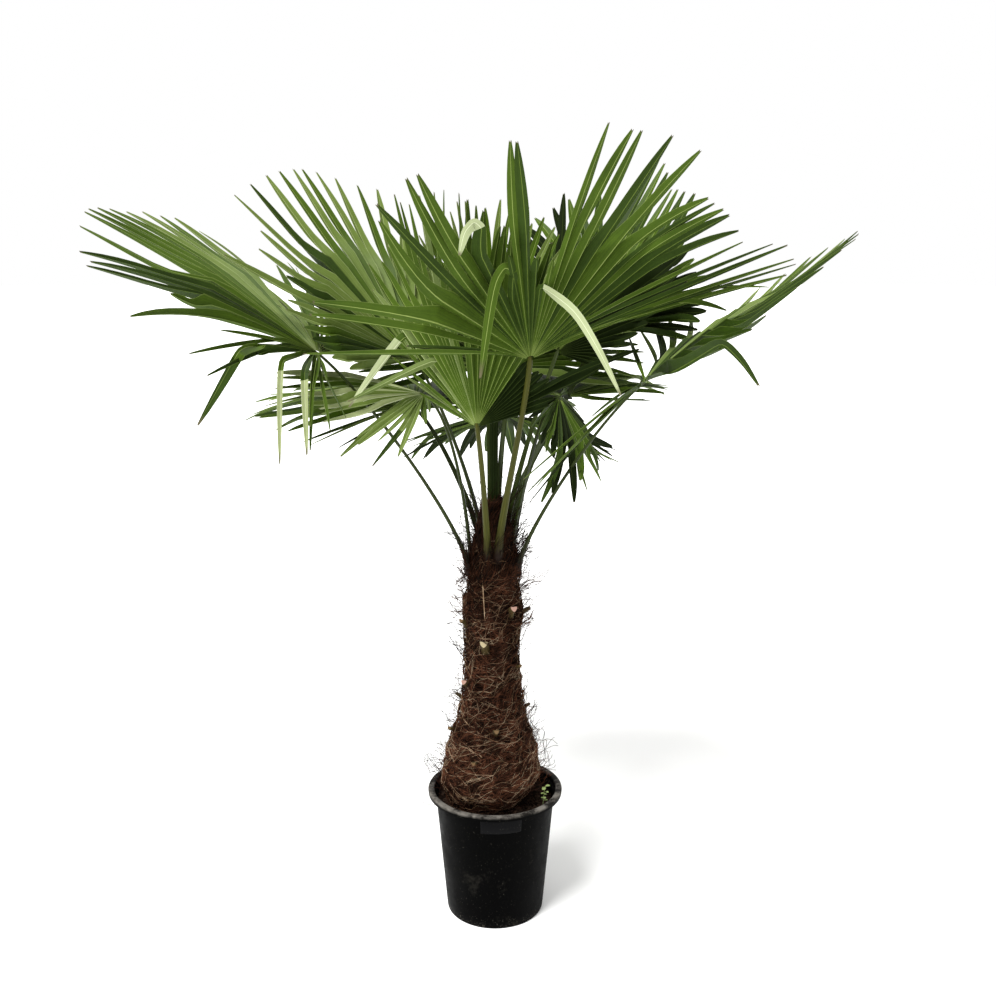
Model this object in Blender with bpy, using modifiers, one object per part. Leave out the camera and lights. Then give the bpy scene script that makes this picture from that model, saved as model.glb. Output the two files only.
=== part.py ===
# Windmill palm in a round nursery pot, as a model of its real pieces.
#
# A fan palm about 2.1 m tall: a black plastic pot filled with compost, one upright
# stem wrapped in its own fibre, and a crown of fan fronds. Each frond is two pieces,
# a stalk that stands on a ledge of the stem's top and a thin fan blade at its end.
#
# Metres, +Z up. The origin is the middle of the pot's flat underside.
# The plant's front, from which it was measured, looks along +Y.
from collections import namedtuple
from math import cos, hypot, pi, radians, sin

import bpy
from mathutils import Matrix, Vector
from mathutils.bvhtree import BVHTree

# The gap kept between pieces that touch on the real plant
SEAT_GAP = 0.0003
MERGE = 0.00005

# Pot: a tapered tub with a flat flange and a turned-down lip
POT_HEIGHT = 0.356
POT_BASE_RADIUS = 0.133
POT_NECK_RADIUS = 0.163
POT_RIM_RADIUS = 0.184
POT_LIP_DEPTH = 0.014
POT_WALL = 0.003
POT_FLOOR = 0.004
POT_FOOT_CHAMFER = 0.006
POT_STEPS = 32
DRAIN_HOLES = 6
DRAIN_RADIUS = 0.006
DRAIN_CIRCLE = 0.085
DRAIN_TURN = 0.35
DRAIN_SIDES = 10

# Compost: fills the pot to this depth under the rim
SOIL_DROP = 0.032
SOIL_CROWN = 0.004
SOIL_COLLAR = 0.004

# Handle tabs: two grips under the rim, at the front and the back
TAB_WIDTH = 0.112
TAB_HEIGHT = 0.036
TAB_DEPTH = 0.006
TAB_BEARING = -84

# Stem: radius over the fibre at heights above the compost, root flare first
STEM_TOP = 1.090
STEM_PROFILE = (
    (0.000, 0.141), (0.050, 0.139), (0.095, 0.135), (0.142, 0.126), (0.215, 0.108),
    (0.285, 0.091), (0.340, 0.082), (0.435, 0.073), (0.495, 0.074), (0.530, 0.082),
    (0.555, 0.080), (0.595, 0.068),
)
STEM_STEPS = 20
STEM_FOOT_SHIFT = -0.014
STEM_LEAN = 0.0157

# Ledges at the stem's top, which the stalks stand on: height and outer radius
LEDGES = ((0.965, 0.069), (1.005, 0.056), (1.048, 0.043), (STEM_TOP, 0.030))
LEDGE_INSET = 0.0066

# Stalks and blades
STALK_BASE_RADIUS = 0.0060
STALK_NECK_RADIUS = 0.0042
STALK_TIP_RADIUS = 0.0025
STALK_POINTS = 8
STALK_SOCKET = 0.012
STALK_NECK = 0.012
STALK_RISE = 0.16
STALK_NOD = 0.20
STALK_FIRST_SHARE = 0.2
HUB_RADIUS = 0.010
STALK_TIP_REACH = 0.0094
BLADE_THICKNESS = 0.003
FINGERS_A_HALF = 7
WEB = 0.50
SHOULDER = 0.80
SHOULDER_WIDTH = 0.62
CLEARANCE = 0.0004
DRAW_IN_STEPS = 20
SNAPPED = 0.6

# Spear: the folded newest leaf in the middle of the crown, as height and radius
SPEAR_PROFILE = (
    (0.00, 0.0090), (0.02, 0.0090), (0.30, 0.0081), (0.42, 0.0054), (0.50, 0.0008),
)

# Half of a blade on one side of its midrib: how far it folds up from flat, how far it
# spreads from the midrib, and the length of its last leaflet beside the first one.
Half = namedtuple("Half", "rise spread short")

# A frond: the ledge and bearing of its foot, the hub where stalk and blade meet, and
# the blade's heading and pitch in degrees, its reach in metres, its droop, and the
# leaflet groups that are snapped over, counted from the blade's left edge.
# Bearings and headings turn from +X (the plant's right) to +Y (its back).
Frond = namedtuple(
    "Frond", "name ledge bearing hub heading pitch reach droop left right snapped"
)

FRONDS = (
    Frond("front_high", 1, -78, (0.082, -0.282, 1.555), -91, 56, 0.60, 0.10,
          Half(22, 78, 1.00), Half(-13, 70, 0.85), (6, 8)),
    Frond("front_centre", 1, -108, (-0.042, -0.215, 1.388), -110, 68, 0.56, 0.03,
          Half(10, 88, 0.75), Half(31, 88, 0.70), ()),
    Frond("far_left", 0, 190, (-0.440, -0.052, 1.549), 181, 37, 0.66, 0.19,
          Half(-4, 114, 0.50), Half(15, 118, 0.50), ()),
    Frond("far_right", 0, -12, (0.368, -0.090, 1.480), -14, 35, 0.63, 0.11,
          Half(6, 100, 0.56), Half(3, 130, 0.60), ()),
    Frond("left_high", 2, 148, (-0.215, 0.170, 1.511), 172, 48, 0.64, 0.04,
          Half(-14, 80, 0.87), Half(27, 96, 0.80), ()),
    Frond("right_high", 2, 32, (0.165, 0.120, 1.535), 48, 56, 0.58, 0.04,
          Half(15, 45, 0.60), Half(-8, 105, 0.74), ()),
    Frond("left_low", 0, 158, (-0.184, 0.040, 1.436), 184, 17, 0.39, 0.30,
          Half(-17, 100, 0.76), Half(-12, 110, 0.60), ()),
    Frond("right_low", 1, -15, (0.168, 0.060, 1.425), -22, -60, 0.27, 0.20,
          Half(-8, 105, 0.85), Half(-8, 105, 0.85), ()),
    Frond("back_right_high", 2, 62, (0.283, 0.300, 1.590), 78, 60, 0.50, 0.10,
          Half(5, 95, 0.72), Half(5, 100, 0.72), ()),
    Frond("back_high", 2, 96, (0.000, 0.380, 1.470), 92, 38, 0.58, 0.12,
          Half(8, 110, 0.65), Half(8, 110, 0.65), ()),
    Frond("back_left", 1, 128, (-0.230, 0.370, 1.350), 128, 12, 0.56, 0.22,
          Half(4, 110, 0.65), Half(4, 110, 0.65), ()),
    Frond("back_right", 1, 50, (0.190, 0.330, 1.390), 68, 14, 0.48, 0.25,
          Half(2, 108, 0.65), Half(2, 78, 0.50), ()),
    Frond("back_low", 0, 86, (0.030, 0.300, 1.340), 84, -10, 0.42, 0.35,
          Half(-6, 100, 0.70), Half(-6, 100, 0.70), ()),
    Frond("heart", 3, 110, (-0.020, 0.070, 1.490), 105, 80, 0.44, 0.02,
          Half(30, 42, 0.85), Half(30, 42, 0.85), ()),
)

# Finishes: colour, roughness and metallic value
FINISHES = {
    "black polypropylene": ((0.018, 0.018, 0.019), 0.50, 0.0),
    "bark compost": ((0.030, 0.020, 0.013), 0.95, 0.0),
    "palm fibre": ((0.085, 0.045, 0.024), 0.90, 0.0),
    "green stalk": ((0.110, 0.130, 0.035), 0.50, 0.0),
    "green blade": ((0.090, 0.160, 0.035), 0.45, 0.0),
}


def clear_scene():
    """Remove the objects that a new scene starts with."""
    for item in list(bpy.data.objects):
        bpy.data.objects.remove(item, do_unlink=True)


def make_collection(name):
    """Add a collection to the scene."""
    group = bpy.data.collections.new(name)
    bpy.context.scene.collection.children.link(group)
    return group


def make_finishes():
    """One Principled material for each finish."""
    made = {}
    for name, (colour, roughness, metallic) in FINISHES.items():
        material = bpy.data.materials.new(name)
        material.use_nodes = True
        shader = material.node_tree.nodes["Principled BSDF"]
        shader.inputs["Base Color"].default_value = (*colour, 1.0)
        shader.inputs["Roughness"].default_value = roughness
        shader.inputs["Metallic"].default_value = metallic
        made[name] = material
    return made


def add_piece(name, data, finish, group):
    """Put a mesh or curve in the collection as one named piece."""
    piece = bpy.data.objects.new(name, data)
    piece.data.materials.append(finish)
    group.objects.link(piece)
    return piece


def turned(name, profile, steps, finish, group):
    """Turn a profile of (radius, height), from its top down, about the Z axis."""
    mesh = bpy.data.meshes.new(name)
    verts = [(radius, 0.0, height) for radius, height in profile]
    edges = [(i, i + 1) for i in range(len(verts) - 1)]
    mesh.from_pydata(verts, edges, [])
    piece = add_piece(name, mesh, finish, group)
    screw = piece.modifiers.new("Turn", "SCREW")
    screw.axis = "Z"
    screw.angle = 2 * pi
    screw.steps = steps
    screw.render_steps = steps
    screw.use_merge_vertices = True
    screw.merge_threshold = MERGE
    screw.use_smooth_shade = True
    return piece


def pot_inner_radius(height):
    """Inner radius of the pot's tapered wall at a height."""
    share = height / (POT_HEIGHT - POT_LIP_DEPTH)
    return POT_BASE_RADIUS + (POT_NECK_RADIUS - POT_BASE_RADIUS) * share - POT_WALL


def make_pot(finish, parts, cutters):
    """The pot: one turned shell with a flange, a lip and drain holes in its floor."""
    lip_bottom = POT_HEIGHT - POT_LIP_DEPTH
    rim_inner = POT_RIM_RADIUS - POT_WALL
    profile = (
        (0.0, POT_FLOOR),
        (pot_inner_radius(POT_FLOOR), POT_FLOOR),
        (pot_inner_radius(lip_bottom), lip_bottom),
        (POT_NECK_RADIUS + POT_WALL, POT_HEIGHT),
        (POT_RIM_RADIUS - POT_WALL, POT_HEIGHT),
        (POT_RIM_RADIUS, POT_HEIGHT - POT_WALL),
        (POT_RIM_RADIUS, lip_bottom),
        (rim_inner, lip_bottom),
        (rim_inner, POT_HEIGHT - 2 * POT_WALL),
        (POT_NECK_RADIUS + POT_WALL, POT_HEIGHT - 2 * POT_WALL),
        (POT_NECK_RADIUS, lip_bottom - POT_WALL),
        (POT_BASE_RADIUS, POT_FOOT_CHAMFER),
        (POT_BASE_RADIUS - POT_FOOT_CHAMFER, 0.0),
        (0.0, 0.0),
    )
    pot = turned("pot", profile, POT_STEPS, finish, parts)
    drill_drains(pot, cutters)
    return pot


def drill_drains(pot, cutters):
    """Cut the ring of drain holes through the pot's floor."""
    for i in range(DRAIN_HOLES):
        turn = 2 * pi * (i + DRAIN_TURN) / DRAIN_HOLES
        place = (DRAIN_CIRCLE * cos(turn), DRAIN_CIRCLE * sin(turn), POT_FLOOR / 2)
        bpy.ops.mesh.primitive_cylinder_add(
            vertices=DRAIN_SIDES, radius=DRAIN_RADIUS, depth=POT_FLOOR * 3, location=place
        )
        cutter = bpy.context.object
        cutter.name = f"drain_cutter_{i}"
        cutter.hide_render = True
        cutter.display_type = "WIRE"
        for owner in list(cutter.users_collection):
            owner.objects.unlink(cutter)
        cutters.objects.link(cutter)
        cut = pot.modifiers.new(f"Drain {i}", "BOOLEAN")
        cut.operation = "DIFFERENCE"
        cut.object = cutter


def make_tab(name, bearing, finish, parts):
    """A grip tab that hangs from the rim's lip at a bearing round the pot."""
    turn = radians(bearing)
    out = POT_RIM_RADIUS - TAB_DEPTH / 2 - POT_WALL
    level = POT_HEIGHT - POT_LIP_DEPTH - SEAT_GAP - TAB_HEIGHT / 2
    middle = (out * cos(turn), out * sin(turn), level)
    bpy.ops.mesh.primitive_cube_add(size=1.0, location=middle, rotation=(0.0, 0.0, turn))
    tab = bpy.context.object
    tab.name = name
    tab.scale = (TAB_DEPTH, TAB_WIDTH, TAB_HEIGHT)
    bpy.ops.object.transform_apply(location=False, rotation=False, scale=True)
    bevel = tab.modifiers.new("Round", "BEVEL")
    bevel.width = TAB_DEPTH / 4
    bevel.segments = 1
    tab.data.materials.append(finish)
    for owner in list(tab.users_collection):
        owner.objects.unlink(tab)
    parts.objects.link(tab)
    return tab


def soil_top():
    """Height of the compost's level top, where the stem stands."""
    return POT_HEIGHT - SOIL_DROP


def make_soil(finish, parts):
    """The compost: a plug that fills the pot, low at the wall."""
    foot = POT_FLOOR + SEAT_GAP
    top = soil_top() - foot
    edge = top - SOIL_CROWN
    profile = (
        (0.0, top),
        (STEM_PROFILE[0][1] + SOIL_COLLAR, top),
        (pot_inner_radius(foot + edge) - SEAT_GAP, edge),
        (pot_inner_radius(foot) - SEAT_GAP, 0.0),
        (0.0, 0.0),
    )
    soil = turned("soil", profile, POT_STEPS, finish, parts)
    soil.location = (0.0, 0.0, foot)
    return soil


def stem_middle(height):
    """The middle of the leaning stem at a height."""
    rise = height - soil_top() - SEAT_GAP
    return Vector((STEM_FOOT_SHIFT + STEM_LEAN * rise, 0.0, height))


def make_stem(finish, parts):
    """The stem: a turned taper with its root flare, cut flat, and ledges at its top."""
    foot = soil_top() + SEAT_GAP
    rising = [(radius, height) for height, radius in STEM_PROFILE]
    for level, (height, radius) in enumerate(LEDGES):
        rising.append((radius, height - foot))
        if level + 1 < len(LEDGES):
            rising.append((LEDGES[level + 1][1], height - foot))
    profile = [(0.0, STEM_TOP - foot)] + rising[::-1] + [(0.0, 0.0)]
    stem = turned("trunk", profile, STEM_STEPS, finish, parts)
    stem.location = stem_middle(foot)
    lean_over(stem)
    return stem


def lean_over(stem):
    """Make the turned stem a mesh and lean it, so that its level faces stay level."""
    graph = bpy.context.evaluated_depsgraph_get()
    mesh = bpy.data.meshes.new_from_object(stem.evaluated_get(graph))
    stem.modifiers.clear()
    stem.data = mesh
    mesh.transform(Matrix.Shear("XY", 4, (STEM_LEAN, 0.0)))


def curve_piece(name, points, radii, finish, parts):
    """A tapering round rod along points, with closed ends."""
    curve = bpy.data.curves.new(name, "CURVE")
    curve.dimensions = "3D"
    curve.bevel_depth = 1.0
    curve.bevel_resolution = 1
    curve.use_fill_caps = True
    spline = curve.splines.new("POLY")
    spline.points.add(len(points) - 1)
    for point, place, radius in zip(spline.points, points, radii):
        point.co = (*place, 1.0)
        point.radius = radius
    return add_piece(name, curve, finish, parts)


def frond_axes(frond):
    """The blade's midrib direction, its upper side and its right side."""
    turn = radians(frond.heading)
    lift = radians(frond.pitch)
    along = Vector((cos(lift) * cos(turn), cos(lift) * sin(turn), sin(lift)))
    upper = Vector((-sin(lift) * cos(turn), -sin(lift) * sin(turn), cos(lift)))
    return along, upper, along.cross(upper)


def stalk_foot(frond):
    """Where a stalk stands on its ledge."""
    height, radius = LEDGES[frond.ledge]
    turn = radians(frond.bearing)
    inset = radius - LEDGE_INSET
    return stem_middle(height) + Vector((inset * cos(turn), inset * sin(turn), SEAT_GAP))


def stalk_path(frond):
    """Points of a stalk from its foot: up first, then nearly straight out to the hub."""
    along = frond_axes(frond)[0]
    foot = Vector((0.0, 0.0, 0.0))
    tip = Vector(frond.hub) - stalk_foot(frond) + along * STALK_TIP_REACH
    rise = Vector((0.0, 0.0, STALK_RISE * tip.length))
    handles = (foot, rise, tip - along * STALK_NOD * tip.length, tip)
    points = [foot, Vector((0.0, 0.0, STALK_SOCKET))]
    for i in range(2, STALK_POINTS - 1):
        t = (i + STALK_FIRST_SHARE) / (STALK_POINTS - 1)
        weights = ((1 - t) ** 3, 3 * t * (1 - t) ** 2, 3 * t * t * (1 - t), t ** 3)
        points.append(sum((w * h for w, h in zip(weights, handles)), Vector()))
    points.append(tip - along * STALK_NECK)
    points.append(tip)
    return points


def make_stalk(frond, finish, parts):
    """The stalk of a frond, tapering to a narrow tip at the hub."""
    points = stalk_path(frond)
    last = len(points) - 1
    radii = []
    for i in range(len(points)):
        share = i / (last - 1)
        radii.append(STALK_BASE_RADIUS + (STALK_NECK_RADIUS - STALK_BASE_RADIUS) * share)
    radii[last] = STALK_TIP_RADIUS
    stalk = curve_piece(f"stalk_{frond.name}", points, radii, finish, parts)
    stalk.location = stalk_foot(frond)
    return stalk


def blade_point(frond, axes, angle, reach):
    """A point of the blade at an angle from the midrib (left is minus) and a reach."""
    along, upper, right = axes
    half = frond.left if angle < 0 else frond.right
    side = -1.0 if angle < 0 else 1.0
    rise = radians(half.rise)
    turn = radians(abs(angle))
    out = along * cos(turn) + (right * side * cos(rise) + upper * sin(rise)) * sin(turn)
    sag = frond.droop * hypot(out.x, out.y) * reach * reach
    return Vector(frond.hub) + out * reach - Vector((0, 0, sag))


def leaflet_length(frond, angle):
    """Length of the leaflet at an angle: the longest at the midrib."""
    half = frond.left if angle < 0 else frond.right
    share = abs(angle) / half.spread
    return frond.reach * (1 - (1 - half.short) * share * share)


def leaflet_rows(frond, axes, low, high, length):
    """Pairs of points across one leaflet group, from the hub out to its tip."""
    middle = (low + high) / 2
    narrow = (high - low) / 2 * SHOULDER_WIDTH * WEB / SHOULDER
    spans = (
        (low, high, HUB_RADIUS),
        (low, high, length * WEB / 2),
        (low, high, length * WEB),
        (middle - narrow, middle + narrow, length * SHOULDER),
        (middle, middle, length),
    )
    rows = []
    for first, second, reach in spans:
        left = blade_point(frond, axes, first, reach)
        right = blade_point(frond, axes, second, reach)
        rows.append((left, right))
    return rows


def strip_tree(rows):
    """Search tree of a strip of rows, as thick and wide as it may be with its clearance."""
    verts = []
    for i, (left, right) in enumerate(rows):
        ahead = rows[min(i + 1, len(rows) - 1)][0]
        behind = rows[max(i - 1, 0)][0]
        across = rows[2][1] - rows[2][0]
        normal = across.cross(ahead - behind).normalized()
        lift = normal * (BLADE_THICKNESS / 2 + CLEARANCE)
        side = across.normalized() * CLEARANCE
        verts.extend((left - side - lift, right + side - lift))
        verts.extend((right + side + lift, left - side + lift))
    faces = []
    for i in range(len(rows) - 1):
        for k in range(4):
            following = (k + 1) % 4
            faces.append((4 * i + k, 4 * i + following, 4 * i + 4 + following, 4 * i + 4 + k))
    return BVHTree.FromPolygons(verts, faces)


def piece_tree(piece):
    """Search tree of a finished piece's surface."""
    bpy.context.view_layer.update()
    graph = bpy.context.evaluated_depsgraph_get()
    mesh = bpy.data.meshes.new_from_object(piece.evaluated_get(graph))
    verts = [piece.matrix_world @ vert.co for vert in mesh.vertices]
    tree = BVHTree.FromPolygons(verts, [face.vertices[:] for face in mesh.polygons])
    bpy.data.meshes.remove(mesh)
    return tree


def clear_length(frond, axes, low, high, neighbours):
    """Length of a leaflet group, drawn in until it passes clear of its neighbours."""
    full = leaflet_length(frond, (low + high) / 2)
    for step in range(DRAW_IN_STEPS):
        length = full * (1 - step / DRAW_IN_STEPS)
        tree = strip_tree(leaflet_rows(frond, axes, low, high, length))
        if not any(tree.overlap(other) for other in neighbours):
            return length
    return full / DRAW_IN_STEPS


def make_blade(frond, stalk, neighbours, finish, parts):
    """A thin fan on its stalk: a web to half its reach, then a finger for each group."""
    axes = frond_axes(frond)
    lefts = [-frond.left.spread * i / FINGERS_A_HALF for i in range(FINGERS_A_HALF, 0, -1)]
    rights = [frond.right.spread * i / FINGERS_A_HALF for i in range(FINGERS_A_HALF + 1)]
    edges = lefts + rights
    gaps = range(len(edges) - 1)
    lengths = [clear_length(frond, axes, edges[i], edges[i + 1], neighbours) for i in gaps]
    for i in frond.snapped:
        lengths[i] *= SNAPPED
    verts = []
    faces = []
    for i, angle in enumerate(edges):
        web = WEB * min(lengths[max(i - 1, 0)], lengths[min(i, len(lengths) - 1)])
        for reach in (HUB_RADIUS, web / 2, web):
            verts.append(blade_point(frond, axes, angle, reach))
    for i in gaps:
        a = 3 * i
        b = 3 * (i + 1)
        first = len(verts)
        shoulder, tip = leaflet_rows(frond, axes, edges[i], edges[i + 1], lengths[i])[3:]
        verts.extend((shoulder[0], shoulder[1], tip[0]))
        faces.append((a, a + 1, b + 1, b))
        faces.append((a + 1, a + 2, b + 2, b + 1))
        faces.append((a + 2, first, first + 1, b + 2))
        faces.append((first, first + 2, first + 1))
    mesh = bpy.data.meshes.new(f"blade_{frond.name}")
    mesh.from_pydata([vert - Vector(frond.hub) for vert in verts], [], faces)
    blade = add_piece(f"blade_{frond.name}", mesh, finish, parts)
    blade.parent = stalk
    blade.location = Vector(frond.hub) - stalk_foot(frond)
    shell = blade.modifiers.new("Thickness", "SOLIDIFY")
    shell.thickness = BLADE_THICKNESS
    shell.offset = 0.0
    shell.use_even_offset = False
    return blade


def make_spear(finish, parts):
    """The folded newest leaf, standing on the top of the stem."""
    points = [Vector((0.0, 0.0, height)) for height, radius in SPEAR_PROFILE]
    radii = [radius for height, radius in SPEAR_PROFILE]
    spear = curve_piece("spear", points, radii, finish, parts)
    spear.location = stem_middle(STEM_TOP + SEAT_GAP)
    return spear


def main():
    clear_scene()
    parts = make_collection("windmill_palm")
    cutters = make_collection("cutters")
    finish = make_finishes()
    make_pot(finish["black polypropylene"], parts, cutters)
    make_tab("tab_front", TAB_BEARING, finish["black polypropylene"], parts)
    make_tab("tab_back", TAB_BEARING + 180, finish["black polypropylene"], parts)
    make_soil(finish["bark compost"], parts)
    stem = make_stem(finish["palm fibre"], parts)
    spear = make_spear(finish["green stalk"], parts)
    stalks = [make_stalk(frond, finish["green stalk"], parts) for frond in FRONDS]
    neighbours = [piece_tree(piece) for piece in (stem, spear, *stalks)]
    for frond, stalk in zip(FRONDS, stalks):
        blade = make_blade(frond, stalk, neighbours, finish["green blade"], parts)
        neighbours.append(piece_tree(blade))


main()
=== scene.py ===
# %% [markdown]
# # A windmill palm in its nursery pot
#
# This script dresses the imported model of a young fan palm. The real plant is about
# 2.1 m tall: a black plastic pot, damp bark compost, one stem wrapped in its own brown
# fibre, and a head of stiff pleated fans on long stalks. Each step below takes one of
# these pieces, says what it is on the real plant, and builds it.

from collections import namedtuple
from functools import partial
from math import atan2, cos, hypot, pi, radians, sin, sqrt
from random import Random

import bmesh
import bpy
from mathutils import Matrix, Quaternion, Vector, noise


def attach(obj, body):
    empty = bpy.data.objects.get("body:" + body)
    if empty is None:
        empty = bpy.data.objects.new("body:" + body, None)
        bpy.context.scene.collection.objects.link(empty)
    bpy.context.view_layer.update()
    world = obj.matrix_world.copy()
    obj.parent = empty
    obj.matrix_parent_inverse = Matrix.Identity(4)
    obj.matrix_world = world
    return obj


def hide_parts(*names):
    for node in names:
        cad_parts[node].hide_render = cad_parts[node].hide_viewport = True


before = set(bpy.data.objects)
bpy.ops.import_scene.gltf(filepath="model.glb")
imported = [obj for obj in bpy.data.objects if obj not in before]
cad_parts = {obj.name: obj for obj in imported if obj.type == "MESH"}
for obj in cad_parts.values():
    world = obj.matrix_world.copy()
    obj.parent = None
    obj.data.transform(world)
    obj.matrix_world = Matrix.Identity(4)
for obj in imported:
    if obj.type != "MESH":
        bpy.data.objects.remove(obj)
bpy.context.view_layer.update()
BODY = "root"

# %% [markdown]
# ## Helpers
#
# A colour picker gives sRGB values, but a shader works in linear light, so one function
# turns a hex colour to linear. One more adds a node to any tree, with its settings and
# its links, which keeps the materials short to read. Where a link names a whole node, it
# takes that node's first output in use. Most shapes here are rings of points that are
# joined row by row, such as the stem, the stalks and the pot, so one function does that.

# %% Colours and nodes
# The kinds of node that come up most. Mix and random nodes have several inputs of one
# name, so theirs are given by number.
NOISE = "ShaderNodeTexNoise"
RAMP = "ShaderNodeValToRGB"
RANGE = "ShaderNodeMapRange"
MATH = "ShaderNodeMath"
VECTORS = "ShaderNodeVectorMath"
MIX = "ShaderNodeMix"
BUMP = "ShaderNodeBump"
AXES = "ShaderNodeSeparateXYZ"
STRETCH = "ShaderNodeMapping"
RANDOM = "FunctionNodeRandomValue"


def linear(hex_colour):
    """Turn an sRGB hex colour to the linear values that a shader takes."""
    values = []
    for i in (0, 2, 4):
        part = int(hex_colour[i:i + 2], 16) / 255
        values.append(part / 12.92 if part <= 0.04045 else ((part + 0.055) / 1.055) ** 2.4)
    return (*values, 1.0)


def fill(node, inputs):
    """Fill a node's inputs with values, or with links from sockets and from other nodes."""
    for key, value in inputs.items():
        if isinstance(value, bpy.types.Node):
            value = next(socket for socket in value.outputs if socket.enabled)
        if isinstance(value, bpy.types.NodeSocket):
            node.id_data.links.new(value, node.inputs[key])
        else:
            node.inputs[key].default_value = value


def add_node(tree, kind, inputs=None, span=(), stops=(), **settings):
    """Add a node with its settings and inputs, its range (from, to) or its colour stops."""
    node = tree.nodes.new(kind)
    for name, value in settings.items():
        setattr(node, name, value)
    fill(node, {**(inputs or {}), **dict(enumerate(span, 1))})
    for i, (place, colour) in enumerate(stops):
        elements = node.color_ramp.elements
        element = elements[i] if i < len(elements) else elements.new(1.0)
        element.position = place
        element.color = linear(colour)
    return node


def new_material(name, roughness, gloss=0.5, ior=1.45):
    """An empty material, the function that adds its nodes, its shader and its coordinates."""
    material = bpy.data.materials.new(name)
    material.use_nodes = True
    tree = material.node_tree
    shader = tree.nodes["Principled BSDF"]
    fill(shader, {"Roughness": roughness, "IOR": ior, "Specular IOR Level": gloss})
    coords = add_node(tree, "ShaderNodeTexCoord")
    return material, partial(add_node, tree), shader, coords.outputs


DRY_GLOSS = 0.03         # dry fibre, crumbs and cut stalk scatter their shine away


def grained_material(name, texture, stops, roughness, bump, depth):
    """A dry surface whose colour and relief follow one texture, given as (kind, inputs)."""
    material, node, shader, coords = new_material(name, roughness, DRY_GLOSS)
    kind, inputs = texture
    grain = node(kind, {"Vector": coords["Object"], **inputs})
    colour = node(RAMP, {"Fac": grain}, stops=stops)
    relief = node(BUMP, {"Height": grain, "Strength": bump, "Distance": depth})
    fill(shader, {"Base Color": colour, "Normal": relief})
    return material


print("hex 808080 is", round(linear("808080")[0], 3), "in linear light")

# %% Meshes


def build_mesh(name, verts, faces, uvs=None, tints=None, smooth=True):
    """A mesh from loops' results, with its UVs and its material numbers."""
    mesh = bpy.data.meshes.new(name)
    mesh.from_pydata(verts, [], faces)
    layer = mesh.uv_layers.new(name="surface") if uvs else None
    for i, face in enumerate(mesh.polygons):
        face.use_smooth = smooth
        if tints:
            face.material_index = tints[i]
        if uvs:
            for loop, corner in zip(face.loop_indices, uvs[i]):
                layer.data[loop].uv = corner
    return mesh


def join_rings(rings, across=None, along=None, flipped=False, closed=False):
    """Faces between rings of points, and their UVs from U pairs by side and V by ring."""
    sides = len(rings[0])
    faces = []
    uvs = []
    for row in range(1, len(rings)):
        for i in range(sides):
            corners = [(row - 1, i), (row - 1, i + 1), (row, i + 1), (row, i)]
            if flipped:
                corners = [corners[0], corners[3], corners[2], corners[1]]
            faces.append([ring * sides + k % sides for ring, k in corners])
            if across:
                uvs.append([(across[i][k - i], along[ring]) for ring, k in corners])
    verts = [point for ring in rings for point in ring]
    if closed:
        foot = list(range(sides))
        top = list(range(len(verts) - sides, len(verts)))
        (top if flipped else foot).reverse()
        faces += [foot, top]
    return verts, faces, uvs


def even_pairs(sides, width=1.0):
    """The U values at both edges of each side, spread evenly over a width."""
    return [(width * i / sides, width * (i + 1) / sides) for i in range(sides)]


def around(turn, reach=1.0):
    """A level arrow at a turn, in radians."""
    return Vector((reach * cos(turn), reach * sin(turn), 0.0))


def circle(middle, radius, sides):
    """A level ring of points."""
    return [middle + around(2 * pi * i / sides, radius) for i in range(sides)]


def face_outward(mesh):
    """Turn the faces of a closed mesh outward."""
    work = bmesh.new()
    work.from_mesh(mesh)
    bmesh.ops.recalc_face_normals(work, faces=work.faces)
    work.to_mesh(mesh)
    work.free()


def joined(name, meshes):
    """Several meshes as one."""
    work = bmesh.new()
    for mesh in meshes:
        work.from_mesh(mesh)
    whole = bpy.data.meshes.new(name)
    work.to_mesh(whole)
    work.free()
    return whole


print("a ring with 4 sides, joined to another:", len(join_rings([range(4)] * 2)[1]), "faces")

# %% Pieces


def new_object(name, data):
    """An object in the scene that shows some data."""
    made = bpy.data.objects.new(name, data)
    bpy.context.scene.collection.objects.link(made)
    return made


def evaluated_mesh(mesh, name, add_modifiers):
    """Put modifiers on a mesh, take the result as a plain mesh, and drop them."""
    holder = new_object("holder", mesh)
    add_modifiers(holder)
    graph = bpy.context.evaluated_depsgraph_get()
    result = bpy.data.meshes.new_from_object(holder.evaluated_get(graph))
    bpy.data.objects.remove(holder)
    result.name = name
    return result


def place_piece(name, mesh, materials, slot, *nodes):
    """Make a finished piece at the origin, hang it on the body, hide the parts it replaces, print
    its size; slot is unused.
    """
    piece = new_object(name, mesh)
    for material in materials or ():
        mesh.materials.append(material)
    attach(piece, BODY)
    if nodes:
        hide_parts(*nodes)
    print(f"{name}: {sum(len(face.vertices) - 2 for face in mesh.polygons)} triangles")
    return piece


print("every piece rides", BODY)

# %% [markdown]
# ## Camera and light
#
# The plant stands before a blank white background. The camera stands 2.9 m in front,
# 1.8 m up, and looks a little down into the pot. A white world lights the plant softly
# from all sides, and a wide soft sun from above and the left gives the leaves a light
# side and a dark side. An area lamp could do the same, but its light would fall off from
# the head down to the pot, and a sun's doesn't.

# %% Camera, floor and lights
CAMERA_PLACE = Vector((0.0082, -2.90, 1.80))
CAMERA_DOWN = 12.40      # degrees below level
LENS = 41.0              # focal length and sensor width in millimetres
SENSOR = 36.0
PHOTO_WIDTH = 996
PHOTO_HEIGHT = 1000
FLOOR_RADIUS = 60.0
FLOOR_SIDES = 48
SUN_FROM = Vector((-0.55, -0.62, 1.30))
SUN_STRENGTH = 4.6
SUN_SOFTNESS = 25        # how wide the sun looks, in degrees
WORLD_STRENGTH = 1.0


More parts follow.
